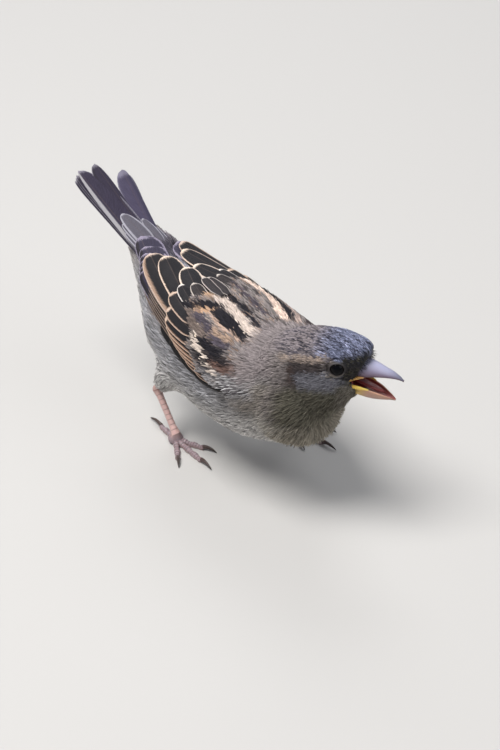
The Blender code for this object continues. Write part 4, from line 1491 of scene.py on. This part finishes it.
def make_pads(rng):
    for name, (stations, angles, height, share, amount, length, width) in PADS.items():
        for side_name in SIDES:
            surface = pad_surface(side_name, stations, angles, height)
            p, n, uv = surface.scatter(lambda q: amount * share(q, *body_place(q)), rng)
            look = varied(length, width, np.full(len(p), PAD_HEIGHT), 7, rng, (0.5, 1.6))
            coat_piece(f"{name}_{side_name}", "plumage_brown", surface, p, n, uv,
                       {**look, "tone": 0.20, "mix": 0.25}, rng)


# ---- bristles

BRISTLES = {"Density": 4.6e6, "Length": 1.7 * MM, "Radius": 0.055 * MM, "Wander": 0.28}
BRISTLE_SIDES, BRISTLE_PATCH, BRISTLE_COLOUR = 5, 0.0014, (0.014, 0.012, 0.012, 1)


def bristle_tree(mat):
    """Stiff hairs spread over a bed of skin, each along the direction stored there."""
    tree = bpy.data.node_groups.new("bristle_bed", "GeometryNodeTree")
    for name, way, kind in (("Bed", "INPUT", "NodeSocketGeometry"),
                            *((name, "INPUT", FLOAT) for name in BRISTLES),
                            ("Bristles", "OUTPUT", "NodeSocketGeometry")):
        tree.interface.new_socket(name, in_out=way, socket_type=kind)
    w = Wiring(tree)
    entry, leave = w.add("NodeGroupInput").outputs, w.add("NodeGroupOutput")
    roots = w.add("GeometryNodeDistributePointsOnFaces", {
        "Mesh": entry["Bed"], "Density": entry["Density"], "Seed": SEED}).outputs["Points"]
    hair = w.add("GeometryNodeMeshCone", {
        "Vertices": BRISTLE_SIDES, "Radius Top": 0, "Radius Bottom": entry["Radius"],
        "Depth": entry["Length"]}).outputs["Mesh"]
    aside = w.add("FunctionNodeRandomValue", {0: (-1, -1, -1), 1: (1, 1, 1),
                                              "Seed": SEED + 1}, data_type="FLOAT_VECTOR")
    lay = w.add("GeometryNodeInputNamedAttribute", {"Name": "lay"}, data_type="FLOAT_VECTOR")
    sway = w.add("ShaderNodeVectorMath", {0: aside.outputs[0], "Scale": entry["Wander"]},
                 operation="SCALE")
    aim = w.add("ShaderNodeVectorMath", {0: lay.outputs["Attribute"], 1: sway.outputs[0]},
                operation="ADD")
    turned = w.add("FunctionNodeAlignRotationToVector", {"Vector": aim.outputs[0]}, axis="Z")
    size = w.add("FunctionNodeRandomValue", {2: 0.55, 3: 1.2, "Seed": SEED + 2})
    placed = w.add("GeometryNodeInstanceOnPoints", {
        "Points": roots, "Instance": hair, "Rotation": turned.outputs[0],
        "Scale": size.outputs[1]})
    real = w.add("GeometryNodeRealizeInstances", {0: placed.outputs[0]})
    done = w.add("GeometryNodeSetMaterial", {"Geometry": real.outputs[0], "Material": mat})
    w.link(done.outputs[0], leave.inputs["Bristles"])
    return tree


def make_bristles(skin):
    """Dark bristles over the base of the bill and at the corners of the mouth."""
    h = bird_to_head(skin.middle)
    x, y, z = h[:, 0], np.abs(h[:, 1]), h[:, 2]
    nasal = (x > 9.6) & (z > -1.6) & (z < 3)
    gape = (x > 7.6) & (y > 3.2) & (z < -1.4) & (z > -2.2)
    chin = (x > 6.6) & (z < -5.6) & (z > -7.6) & (y < 4)
    chosen = np.flatnonzero(nasal | gape | chin)
    corners = skin.triangles[chosen].ravel()
    points, normals = skin.points[corners], skin.normals[corners]
    head = bird_to_head(points)
    ahead = np.stack([np.ones(len(head)), 0.10 * np.sign(head[:, 1]), np.where(
        head[:, 2] > -1.4, -0.38, -0.10)], 1) @ HEAD_TURN.T
    lay = to_world(points + unit(ahead + 0.35 * normals)) - to_world(points)
    flat = np.pad(skin.uv[chosen].reshape(-1, 2), ((0, 0), (0, 1)))
    holder = mesh_object("bill_bristles", points, np.arange(len(corners)).reshape(-1, 3), SKIN,
                         vectors={"lay": lay / MM, "root_uv": flat})
    mat, _, shader = new_material("bristle_black", 0.5)
    shader.inputs["Base Color"].default_value = BRISTLE_COLOUR
    step = holder.modifiers.new("bristles", "NODES")
    step.node_group = bristle_tree(mat)
    for item in step.node_group.interface.items_tree:
        if item.name in BRISTLES:
            step[item.identifier] = BRISTLES[item.name]
    mesh = evaluated_copy(holder)
    holder.modifiers.remove(step)
    holder.data = mesh
    at = read(mesh.attributes["root_uv"].data, "vector", 3, np.float32)[:, :2]
    angle = 2 * math.pi * np.arange(len(at)) / (BRISTLE_SIDES + 1)
    add_map(mesh, "OFBake", at + BRISTLE_PATCH * np.stack([np.cos(angle), np.sin(angle)], 1))
    finish_piece(holder, "plumage_brown")


# ---- eyes

EYE_RADIUS, EYE_BULGE, EYE_SINK = 2.6, 0.035, 0.10
LID_OPENING, LID_WIDTH, LID_REACH = (1.95, 1.66), 1.2, 2
LID_DENSITY = 26              # small feathers on each square mm of lid
PUPIL, IRIS_DARK, IRIS_LIGHT = ((0.002, 0.002, 0.003, 1), (0.002, 0.0015, 0.0015, 1),
                                (0.004, 0.003, 0.003, 1))
LID_BLACK = (0.04, 0.03, 0.03, 1)


def eye_material():
    """Dark brown iris round a black pupil, under a clear wet layer."""
    mat, w, shader = new_material("eye_gloss", 0.06, 0.08)
    iris = w.ramp(w.attribute("rim", "Fac"), 0.52, 0.60)
    brown = w.mix(w.noise(900, 3), IRIS_DARK, IRIS_LIGHT)
    w.link(w.mix(iris, PUPIL, brown), shader.inputs["Base Color"])
    return mat


def make_eye(name, side, mat):
    """A round ball that looks outward, a little forward."""
    rings, segments = 26, 40
    look = unit(np.array([0.30, side * 1, 0.06]))
    across = unit(np.cross(look, [0, 0, 1]))
    over = np.cross(across, look)
    angle, turned = np.linspace(0.02, math.pi - 0.02, rings)[:, None], circle(segments)[None]
    bulge = 1 + EYE_BULGE * smooth(0.62, 1, np.cos(angle))
    ball = ((np.cos(angle) * bulge)[..., None] * look
            + (np.sin(angle) * np.cos(turned))[..., None] * across
            + (np.sin(angle) * np.sin(turned))[..., None] * over)
    centre = np.array([EYE_PLACE[0], side * (EYE_PLACE[1] - EYE_SINK), EYE_PLACE[2]])
    verts = np.concatenate([centre + EYE_RADIUS * ball.reshape(-1, 3), [
        centre + EYE_RADIUS * (1 + EYE_BULGE) * look, centre - EYE_RADIUS * look]])
    rim = np.append(np.repeat(np.sin(angle[:, 0]), segments), [0, 0])
    rim[(rings // 2) * segments:-2] = 1
    piece = mesh_object(f"eyeball_{name}", head_to_bird(verts), capped(rings, segments), mat,
                        colours={"rim": np.tile(rim[:, None], (1, 3))})
    recalculate(piece.data)
    finish_piece(piece, "eye_black", f"eye_{name}")
    return centre, look, across, over


def lid_material():
    mat, w, shader = new_material("eyelid_skin", 0.55, 0.4)
    noise = w.noise(2600, 3)
    w.link(w.mix(w.times(noise, 0.6), w.attribute("tint"), LID_BLACK),
           shader.inputs["Base Color"])
    bump_into(w, shader, noise, 0.5)
    return mat


def make_lids(name, mat, rng, centre, look, across, over):
    """A beaded ring of bare skin round the eye, closed over the ball's edge."""
    rings, segments = 14, 72
    turned = circle(segments)
    rows = []
    for s in np.arange(rings) / (rings - 1):
        radius = LID_WIDTH * s + np.hypot(LID_OPENING[0] * np.cos(turned),
                                          LID_OPENING[1] * np.sin(turned))
        rim = math.exp(-((s - 0.14) / 0.11) ** 2)
        bead = 0.035 * np.cos(turned * 22) * rim
        on_ball = np.sqrt(np.maximum(EYE_RADIUS ** 2 - np.minimum(radius, LID_REACH) ** 2, 0))
        rise = 0.24 * rim + 0.08 - 0.42 * s ** 2
        rows.append(centre + look * (on_ball + rise + bead + 0.02)[:, None]
                    + across * (radius * np.cos(turned))[:, None]
                    + over * (radius * np.sin(turned))[:, None])
    verts = np.concatenate([rows[0] - look * 0.5] + rows + [rows[-1] - look * 1.2])
    # black at the opening, pale below the eye, and then as the feathers round it
    outward = np.repeat(np.linspace(0, 1, rings + 2), segments)
    below = np.tile(smooth(-0.35, -0.8, np.sin(turned)), rings + 2)
    tint = painted(0.42 * plumage(head_to_bird(verts)),
                   (smooth(0.8, 0.5, outward) * below, (128, 120, 112)),
                   (smooth(0.36, 0.22, outward), (14, 12, 13)))
    piece = mesh_object(f"eyelid_{name}", head_to_bird(verts), ring_faces(rings + 2, segments),
                        mat, colours={"tint": tint})
    recalculate(piece.data)
    finish_piece(piece, "plumage_brown")
    make_lid_feathers(name, verts, segments, look, rng)


def make_lid_feathers(name, verts, segments, look, rng):
    """The shortest feathers of all, on the outer half of the ring of bare skin."""
    grid = np.arange(len(verts)).reshape(-1, segments)
    grid = np.concatenate([grid, grid[:, :1]], 1)[len(grid) // 2:-1]
    flat = verts[:, [0, 2]]
    surface = Surface(head_to_bird(verts), *grid_triangles(
        verts, grid, lambda tris: look, (flat - flat.min(0)) / np.ptp(flat, 0).max()))
    p, n, uv = surface.scatter(lambda q: np.full(len(q), LID_DENSITY), rng)
    look = varied(0.62, 0.19, np.full(len(p), 0.12), 12, rng, (0.7, 1.3))
    coat_piece(f"eye_feathers_{name}", "plumage_brown", surface, p, n, uv,
               {**look, "tone": 0.34, "mix": 0.4}, rng)


def make_eyes(rng):
    gloss, skin = eye_material(), lid_material()
    for name, side in SIDES.items():
        make_lids(name, skin, rng, *make_eye(name, side, gloss))


# ---- bill and mouth

# Upper bill: x, ridge height, cutting edge height, half width, forward lean
BILL_UPPER = [
    (10.6, 2.2, -2.25, 3.75, 0.5), (12.45, 1.8, -2.3, 3.75, 0.5), (15, 1.05, -2.15, 3.15, 0.4),
    (17.5, 0.05, -2.1, 2.45, 0.2), (20, -1, -2.3, 1.7, 0.05), (22, -2.1, -2.8, 0.9, 0),
    (23.3, -3.2, -3.5, 0.25, 0),
]
# Lower bill as if closed: x, cutting edge height, keel height, half width
BILL_LOWER = [
    (9.6, -2.9, -6.6, 3.55), (11.2, -2.7, -6.6, 3.6), (13.5, -2.5, -6.4, 3.3),
    (16, -2.5, -5.9, 2.7), (18.5, -2.8, -5, 1.8), (20.6, -3.1, -4.1, 0.9),
    (21.8, -3.4, -3.8, 0.25),
]
BILL_ROWS, BILL_COLUMNS = 34, 25
BILL_ARC = np.linspace(0, math.pi, BILL_COLUMNS)
BILL_CHORD = np.linspace(-1, 1, BILL_COLUMNS)[1:-1]
JAW_ANGLE, JAW_PIVOT = 19, (3, -3.2)
# Tongue: x, half width, half thickness
TONGUE = [(8, 1.4, 0.5), (9, 1.5, 0.5), (12.5, 1.6, 0.5), (16, 1.1, 0.4), (18, 0.3, 0.22)]
TONGUE_HEIGHT = -2.65


def open_jaw(p):
    """Points of the lower bill as if closed, turned down by the jaw's opening."""
    p = np.asarray(p, float)
    a = math.radians(JAW_ANGLE)
    dx, dz = p[..., 0] - JAW_PIVOT[0], p[..., 2] - JAW_PIVOT[1]
    return np.stack([JAW_PIVOT[0] + dx * math.cos(a) + dz * math.sin(a), p[..., 1],
                     JAW_PIVOT[1] - dx * math.sin(a) + dz * math.cos(a)], -1)


def bill_material():
    """Horn whose gloss breaks up in fine flecks."""
    mat, w, shader, _ = tinted_material(
        "bill_horn_look", 0.38, 0.45, 0.15, (0.08, (0.6, 0.3, 0.2), 0.001),
        (700, 4, {"Roughness": 0.6}), (0.5, 0.75))
    fleck = w.noise(2500, 2)
    w.link(w.times(fleck, 0.25, 0.28), shader.inputs["Roughness"])
    bump_into(w, shader, fleck, 0.25)
    return mat


def upper_ring(t):
    x, ridge, edge, wide, lean = catmull(BILL_UPPER, t)[0]
    a, s, tall = BILL_ARC, BILL_CHORD, ridge - edge
    z = edge + tall * np.sin(a) ** 0.85
    y = wide * signed_power(np.cos(a), 0.92)
    # a soft ridge along the culmen and a slight hollow under it
    z = z + 0.10 * min(1, tall / 3) * np.exp(-((a - math.pi / 2) / 0.16) ** 2)
    hollow = min(0.9, 0.35 * tall) * (1 - s * s)
    lip = 0.12 * np.exp(-((np.abs(s) - 0.93) / 0.05) ** 2)
    under = edge + hollow - lip
    return np.concatenate([np.stack([x + lean * z, y, z], 1),
                           np.stack([x + lean * under, wide * s, under], 1)])


def lower_ring(t):
    x, edge, keel, wide = catmull(BILL_LOWER, t)[0]
    a, s = BILL_ARC, -BILL_CHORD
    z = edge - (edge - keel) * np.sin(a) ** 0.85
    hollow = min(1.5, 0.5 * (edge - keel)) * (1 - s ** 4)
    return open_jaw(np.concatenate([
        np.stack([x + 0 * a, -wide * np.cos(a), z], 1),
        np.stack([x + 0 * s, wide * s, edge - hollow], 1)]))


def bill_tints(rings, upper):
    """Colours of a bill half: base to tip along the rings, ridge to edge round them."""
    out, ridge = [], np.sin(BILL_ARC)

    def across(top, edge):
        return np.outer(ridge, linear(*top)) + np.outer(1 - ridge, linear(*edge))

    for k, ring in enumerate(rings):
        u = k / (len(rings) - 1)
        if upper:
            # pale bluish along the ridge and dark toward the cutting edges: partly the horn's own
            # lilac-grey and pink, partly a painted reflection of the sky on the top and painted
            # shade on the sides
            horn = across((156, 156, 180), (92, 68, 84)) * (1 - 0.45 * smooth(0.55, 1, u))
            x, z = ring[:BILL_COLUMNS, 0], ring[:BILL_COLUMNS, 2]
            # painted shade: a dark spot where the nostril opens, the bill having no hole there
            nostril = ((x - 12.9) / 0.55) ** 2 + ((z - 0.45) / 0.3) ** 2
            horn = horn * (1 - 0.8 * np.exp(-nostril))[:, None]
            horn = horn * (1 - smooth(0.35, 0.9, u) * ridge[:, None] * 0.35)
            inside = plain(BILL_COLUMNS - 2, (120, 52, 48)) * (1 - 0.3 * u)
        else:
            yellow = smooth(0.42, 0.12, u)
            horn = across((168, 138, 130), (192, 146, 122)) * (1 - yellow)
            horn = (horn + linear(214, 178, 84) * yellow) * (1 - 0.3 * smooth(0.6, 1, u))
            inside = plain(BILL_COLUMNS - 2, (134, 52, 44)) * (1 - 0.15 * u)
        out.append(np.concatenate([horn, inside]))
    return out


def make_bill():
    horn = bill_material()
    for name, slot, table, ring in (("upper", "bill_horn", BILL_UPPER, upper_ring),
                                    ("lower", "bill_pale", BILL_LOWER, lower_ring)):
        rings = [ring(t) for t in np.linspace(0, len(table) - 1, BILL_ROWS)]
        tube_piece(name + "_bill", slot, rings, horn, "bill_" + name, to_bird=head_to_bird,
                   tints=bill_tints(rings, name == "upper"))


FLESH_DARK, FLESH_LIGHT = (0.12, 0.015, 0.016, 1), (0.30, 0.05, 0.042, 1)


def flesh_material():
    mat, w, shader = new_material("mouth_flesh", 0.25, 0.5, 0, 0.4, (0.15, (1, 0.35, 0.2), 0.0012))
    noise = w.noise(900, 4)
    w.link(w.mix(noise, FLESH_DARK, FLESH_LIGHT), shader.inputs["Base Color"])
    bump_into(w, shader, noise, 0.4, 0.0002)
    return mat


def make_tongue(mat):
    rings, a = [], circle(24)
    groove = 0.18 * np.exp(-(np.cos(a) / 0.25) ** 2) * (np.sin(a) > 0)
    for x, wide, thick in catmull(TONGUE, np.linspace(0, len(TONGUE) - 1, 26)):
        z = TONGUE_HEIGHT + thick * np.sin(a) - groove
        rings.append(open_jaw(np.stack([x + 0 * a, wide * np.cos(a), z], 1)))
    tube_piece("tongue_flesh", "mouth_red", rings, mat, "tongue", to_bird=head_to_bird)


MOUTH_WALL, MOUTH_ROWS, MOUTH_SIDES = 0.25, 14, 32


def make_mouth(mat):
    """The red lining: a funnel from the bills' inner edges back to the throat."""
    rings, a = [], circle(MOUTH_SIDES)
    for s in np.linspace(0, 1, MOUTH_ROWS):
        wide = 3.35 * (1 - s) ** 0.5 * (1 - 0.15 * s) + 0.25
        top = np.array([12.2 - 6.8 * s, -2.05 - 1.2 * s ** 1.5])
        low = open_jaw([12.4 - 6 * s, 0, -3.2 - 0.25 * math.sin(math.pi * s)])[[0, 2]]
        middle, half = (top + low) / 2, (top - low) / 2
        x = middle[0] + half[0] * np.sin(a) - 2.8 * (1 - s) * np.cos(a) ** 2
        z = middle[1] + half[1] * signed_power(np.sin(a), 0.8)
        rings.append(np.stack([x, wide * signed_power(np.cos(a), 0.6), z], 1))
    # open in front and closed at the throat, with its faces turned inward
    count = MOUTH_ROWS * MOUTH_SIDES
    last = count - MOUTH_SIDES
    faces = [tuple(f[::-1]) for f in ring_faces(MOUTH_ROWS, MOUTH_SIDES).tolist()] + [
        (count, last + (i + 1) % MOUTH_SIDES, last + i) for i in range(MOUTH_SIDES)]
    piece = mesh_object("mouth_lining", head_to_bird(np.concatenate(
        rings + [rings[-1].mean(0)[None]])), faces, mat)
    thick = piece.modifiers.new("wall", "SOLIDIFY")
    thick.thickness, thick.offset = MOUTH_WALL * MM, 1
    finish_piece(piece, "mouth_red")


# Soft yellow flanges at the corner of the mouth: path (x, half width, z, radius), colours
FLANGES = {
    "upper": ([(12.6, 3.62, -2.25, 0.18), (11, 3.95, -2.4, 0.42), (9.4, 4.25, -2.8, 0.55),
               (8.1, 4.5, -3.5, 0.42)], (196, 150, 96), (206, 158, 62)),
    "lower": ([(14.2, 3.2, -2.5, 0.18), (12.2, 3.75, -2.7, 0.42), (10.2, 4.15, -2.95, 0.55),
               (8.3, 4.5, -3.25, 0.42)], (232, 206, 110), (222, 178, 60)),
}


def make_flanges():
    mat, w, shader, noise = tinted_material(
        "gape_flange", 0.45, 0.4, 0.1, (0.12, (1, 0.2, 0.1), 0.001), (1500, 3), (0.5, 0.75))
    bump_into(w, shader, noise, 0.4)
    sides = 14
    a = circle(sides)
    for name, side in SIDES.items():
        for level, (path, front, back) in FLANGES.items():
            rings, tints = [], []
            for t in np.linspace(0, 3, 18):
                x, wide, z, radius = catmull(path, t)[0]
                ring = np.stack([x + 0 * a, side * (wide + 0.75 * radius * np.cos(a)),
                                 z + radius * 1.15 * np.sin(a)], 1)
                rings.append(open_jaw(ring) if level == "lower" else ring)
                tints.append(plain(sides, front) * (1 - t / 3) + plain(sides, back) * (t / 3))
            tube_piece(f"gape_flange_{level}_{name}", "bill_pale", rings, mat, tints=tints,
                       to_bird=head_to_bird)


# ---- legs

# Toes: name, degrees from straight ahead, length, claw; plates down the front of the shank
TOES = [("hind", 176, 8.6, 6.2), ("inner", 25, 9.6, 4.2), ("middle", -2, 14, 5),
        ("outer", -32, 10.4, 4.2)]
TOE_RADIUS, TOE_START, CLAW_RADIUS, CLAW_FLOOR = 0.82, 2.75, 0.62, 0.02
SCUTES = 9
LEG_PINK, LEG_LILAC, LEG_DARK = (204, 170, 164), (142, 124, 128), (58, 48, 52)
UP = np.array([0, 0, 1])


def tinted_skin(name, roughness, grain):
    """Bare scaly skin: tints set along the limb, under fine pebbled grain."""
    mat, w, shader, noise = tinted_material(
        name, roughness, 0.4, 0.08, (0.1, (0.8, 0.35, 0.25), 0.0008), (grain * 0.25, 4),
        (0.6, 0.7))
    pebbles = w.add("ShaderNodeTexVoronoi", {"Scale": grain}).outputs[0]
    bump_into(w, shader, w.math("ADD", noise, pebbles), 0.3)
    return mat


def plates(s, count, front, depth):
    """Overlapping plates along a limb: a slow rise to each plate's lower edge, then a step."""
    phase = (s * count) % 1
    return front * depth * (phase ** 1.5 - 0.35)


def plate_edge(s, count, front):
    """1 along the dark joints between plates."""
    phase = (s * count) % 1
    return front * np.maximum(1 - smooth(0, 0.14, phase), smooth(0.90, 1, phase))


# Shank: radius by the share of its length, and the palm's rings as height and radius
SHANK_SHAPE = ([-0.10, -0.06, 0, 0.09, 0.2, 0.5, 0.82, 1],
               [0.5, 1.25, 1.46, 1.22, 0.98, 0.93, 0.97, 1.42])
PALM = ((1.9, 1.98), (1.3, 2.2), (0.8, 2.3), (0.3, 2.25), (0.05, 1.9), (0, 1.2))
PALM_HEIGHT = 2.6


def make_tarsus(name, leg, mat):
    foot, ankle = np.array([*leg["foot"], PALM_HEIGHT]), np.array(leg["ankle"])
    axis = unit(foot - ankle)
    across = unit(np.array([0, 1, 0]) - axis * axis[1])
    ahead = np.cross(across, axis)
    ahead = ahead * np.sign(ahead[0])
    rows, sides = 120, 40
    turned = circle(sides)
    front, back = smooth(-0.25, 0.35, np.cos(turned)), smooth(-0.5, -1, np.cos(turned))
    rings, tints = [], []
    for s in np.linspace(-0.10, 1, rows):
        radius = np.interp(s, *SHANK_SHAPE)
        flat = 1 + 0.16 * smooth(0.1, 0.3, s) * smooth(1, 0.85, s)
        relief = plates(s, SCUTES, front, 0.10)
        at = ankle + axis * np.linalg.norm(foot - ankle) * s
        rings.append(at + ahead * ((radius * flat + relief) * np.cos(turned))[:, None]
                     + across * ((radius * (1 - 0.10 * back) + relief * 0.6)
                                 * np.sin(turned))[:, None])
        tints.append(painted(plain(sides, LEG_PINK),
                             # painted shade: the back and sides of the shank darker and browner
                             (smooth(0.2, -0.7, np.cos(turned)) * 0.55, (120, 84, 74)),
                             (plate_edge(s, SCUTES, front) * 0.55, LEG_DARK),
                             # painted shade: the top of the shank darker where it goes up under
                             # the belly feathers
                             (np.full(sides, smooth(0.12, -0.05, s)) * 0.6, (120, 92, 84))))
    lump = 1 + 0.04 * np.cos(turned * 5)
    way = -1 if across[1] * ahead[0] < 0 else 1
    for height, radius in PALM:
        ring = np.stack([foot[0] + radius * lump * np.cos(turned),
                         foot[1] + radius * lump * np.sin(turned), np.full(sides, height)], 1)
        rings.append(ring[::way])
        tints.append(plain(sides, LEG_LILAC) * 0.9)
    tube_piece("shank_" + name, "leg_skin", rings, mat, "tarsus_" + name, tints=tints)


def make_toe(name, start, heading, left, length, mat):
    rows, sides = 80, 28
    turned = circle(sides)
    joints, count = max(2, round(length / 4.5)), max(6, round(length / 1.25))
    top = smooth(-0.2, 0.4, np.sin(turned))
    rings, tints = [], []
    for s in np.linspace(-0.12, 1, rows):
        swell = 1 + 0.13 * math.cos(2 * math.pi * joints * s)
        radius = TOE_RADIUS * swell * (1 - 0.14 * max(s, 0))
        close = math.sqrt(max(0, 1 - max(0, (s - 0.93) / 0.07) ** 2)) * 0.8 + 0.2
        pads = 0.10 * (1 - top) * np.abs(np.sin(math.pi * 2 * joints * s + 0.5))
        r = (radius + plates(s + 1, count, top, 0.13) + pads) * close
        y = r * signed_power(np.cos(turned), 0.92)
        z = np.maximum(radius * 0.8 + r * signed_power(np.sin(turned), 0.92), 0)
        rings.append(start + heading * (length - TOE_START) * s + left * y[:, None]
                     + UP * z[:, None])
        tints.append(painted(plain(sides, LEG_LILAC),
                             (plate_edge(s + 1, count, top) * 0.75, LEG_DARK),
                             ((1 - top) * 0.6, (170, 146, 142))))
    tube_piece("toe_skin_" + name, "leg_skin", rings, mat, "toe_" + name, tints=tints)


def make_claw(name, base, heading, left, reach, mat):
    sides = 20
    turned = circle(sides)
    rings, tints = [], []
    for s in np.linspace(0, 1, 28):
        radius = CLAW_RADIUS * (1 - s) ** 0.65 + 0.05
        rise = 0.95 + 1.5 * s * (1 - s) - 0.72 * s * s
        slope = 1.5 * (1 - 2 * s) - 1.44 * s
        over = np.cross(unit(heading * reach + UP * slope), left)
        over = over * np.sign(over[2] + 1e-9)
        ring = (base + heading * reach * s + UP * rise
                + left * (radius * 0.82 * np.cos(turned))[:, None]
                + over * (radius * 1.15 * np.sin(turned))[:, None])
        ring[:, 2] = np.maximum(ring[:, 2], CLAW_FLOOR)
        rings.append(ring)
        tints.append(plain(sides, (70, 56, 52)) * (1.25 - 0.75 * s))
    tube_piece("claw_horn_" + name, "claw_horn", rings, mat, "claw_" + name, tints=tints)


def make_legs():
    skin, horn = tinted_skin("scaly_skin", 0.5, 5200), tinted_skin("claw_horn", 0.28, 2200)
    for side_name, leg in LEGS.items():
        make_tarsus(side_name, leg, skin)
        for toe, degrees, length, claw in TOES:
            name = f"{toe}_{side_name}"
            angle = math.radians(leg["turn"] - SIDES[side_name] * degrees)
            heading = np.array([math.cos(angle), math.sin(angle), 0])
            left = np.array([-heading[1], heading[0], 0])
            start = np.array([*leg["foot"], 0]) + heading * TOE_START
            make_toe(name, start, heading, left, length, skin)
            make_claw(name, start + heading * (length - TOE_START - 0.25), heading, left,
                      claw + 0.3, horn)


def main():
    rng = np.random.default_rng(SEED)
    make_camera()
    make_floor()
    make_lights()
    skin = make_skin()
    make_coat(skin, rng)
    for name, side in SIDES.items():
        make_wing(name, side)
    make_tail()
    make_tail_coverts()
    make_pads(rng)
    make_eyes(rng)
    make_bill()
    make_bristles(skin)
    flesh = flesh_material()
    make_mouth(flesh)
    make_tongue(flesh)
    make_flanges()
    make_legs()


main()
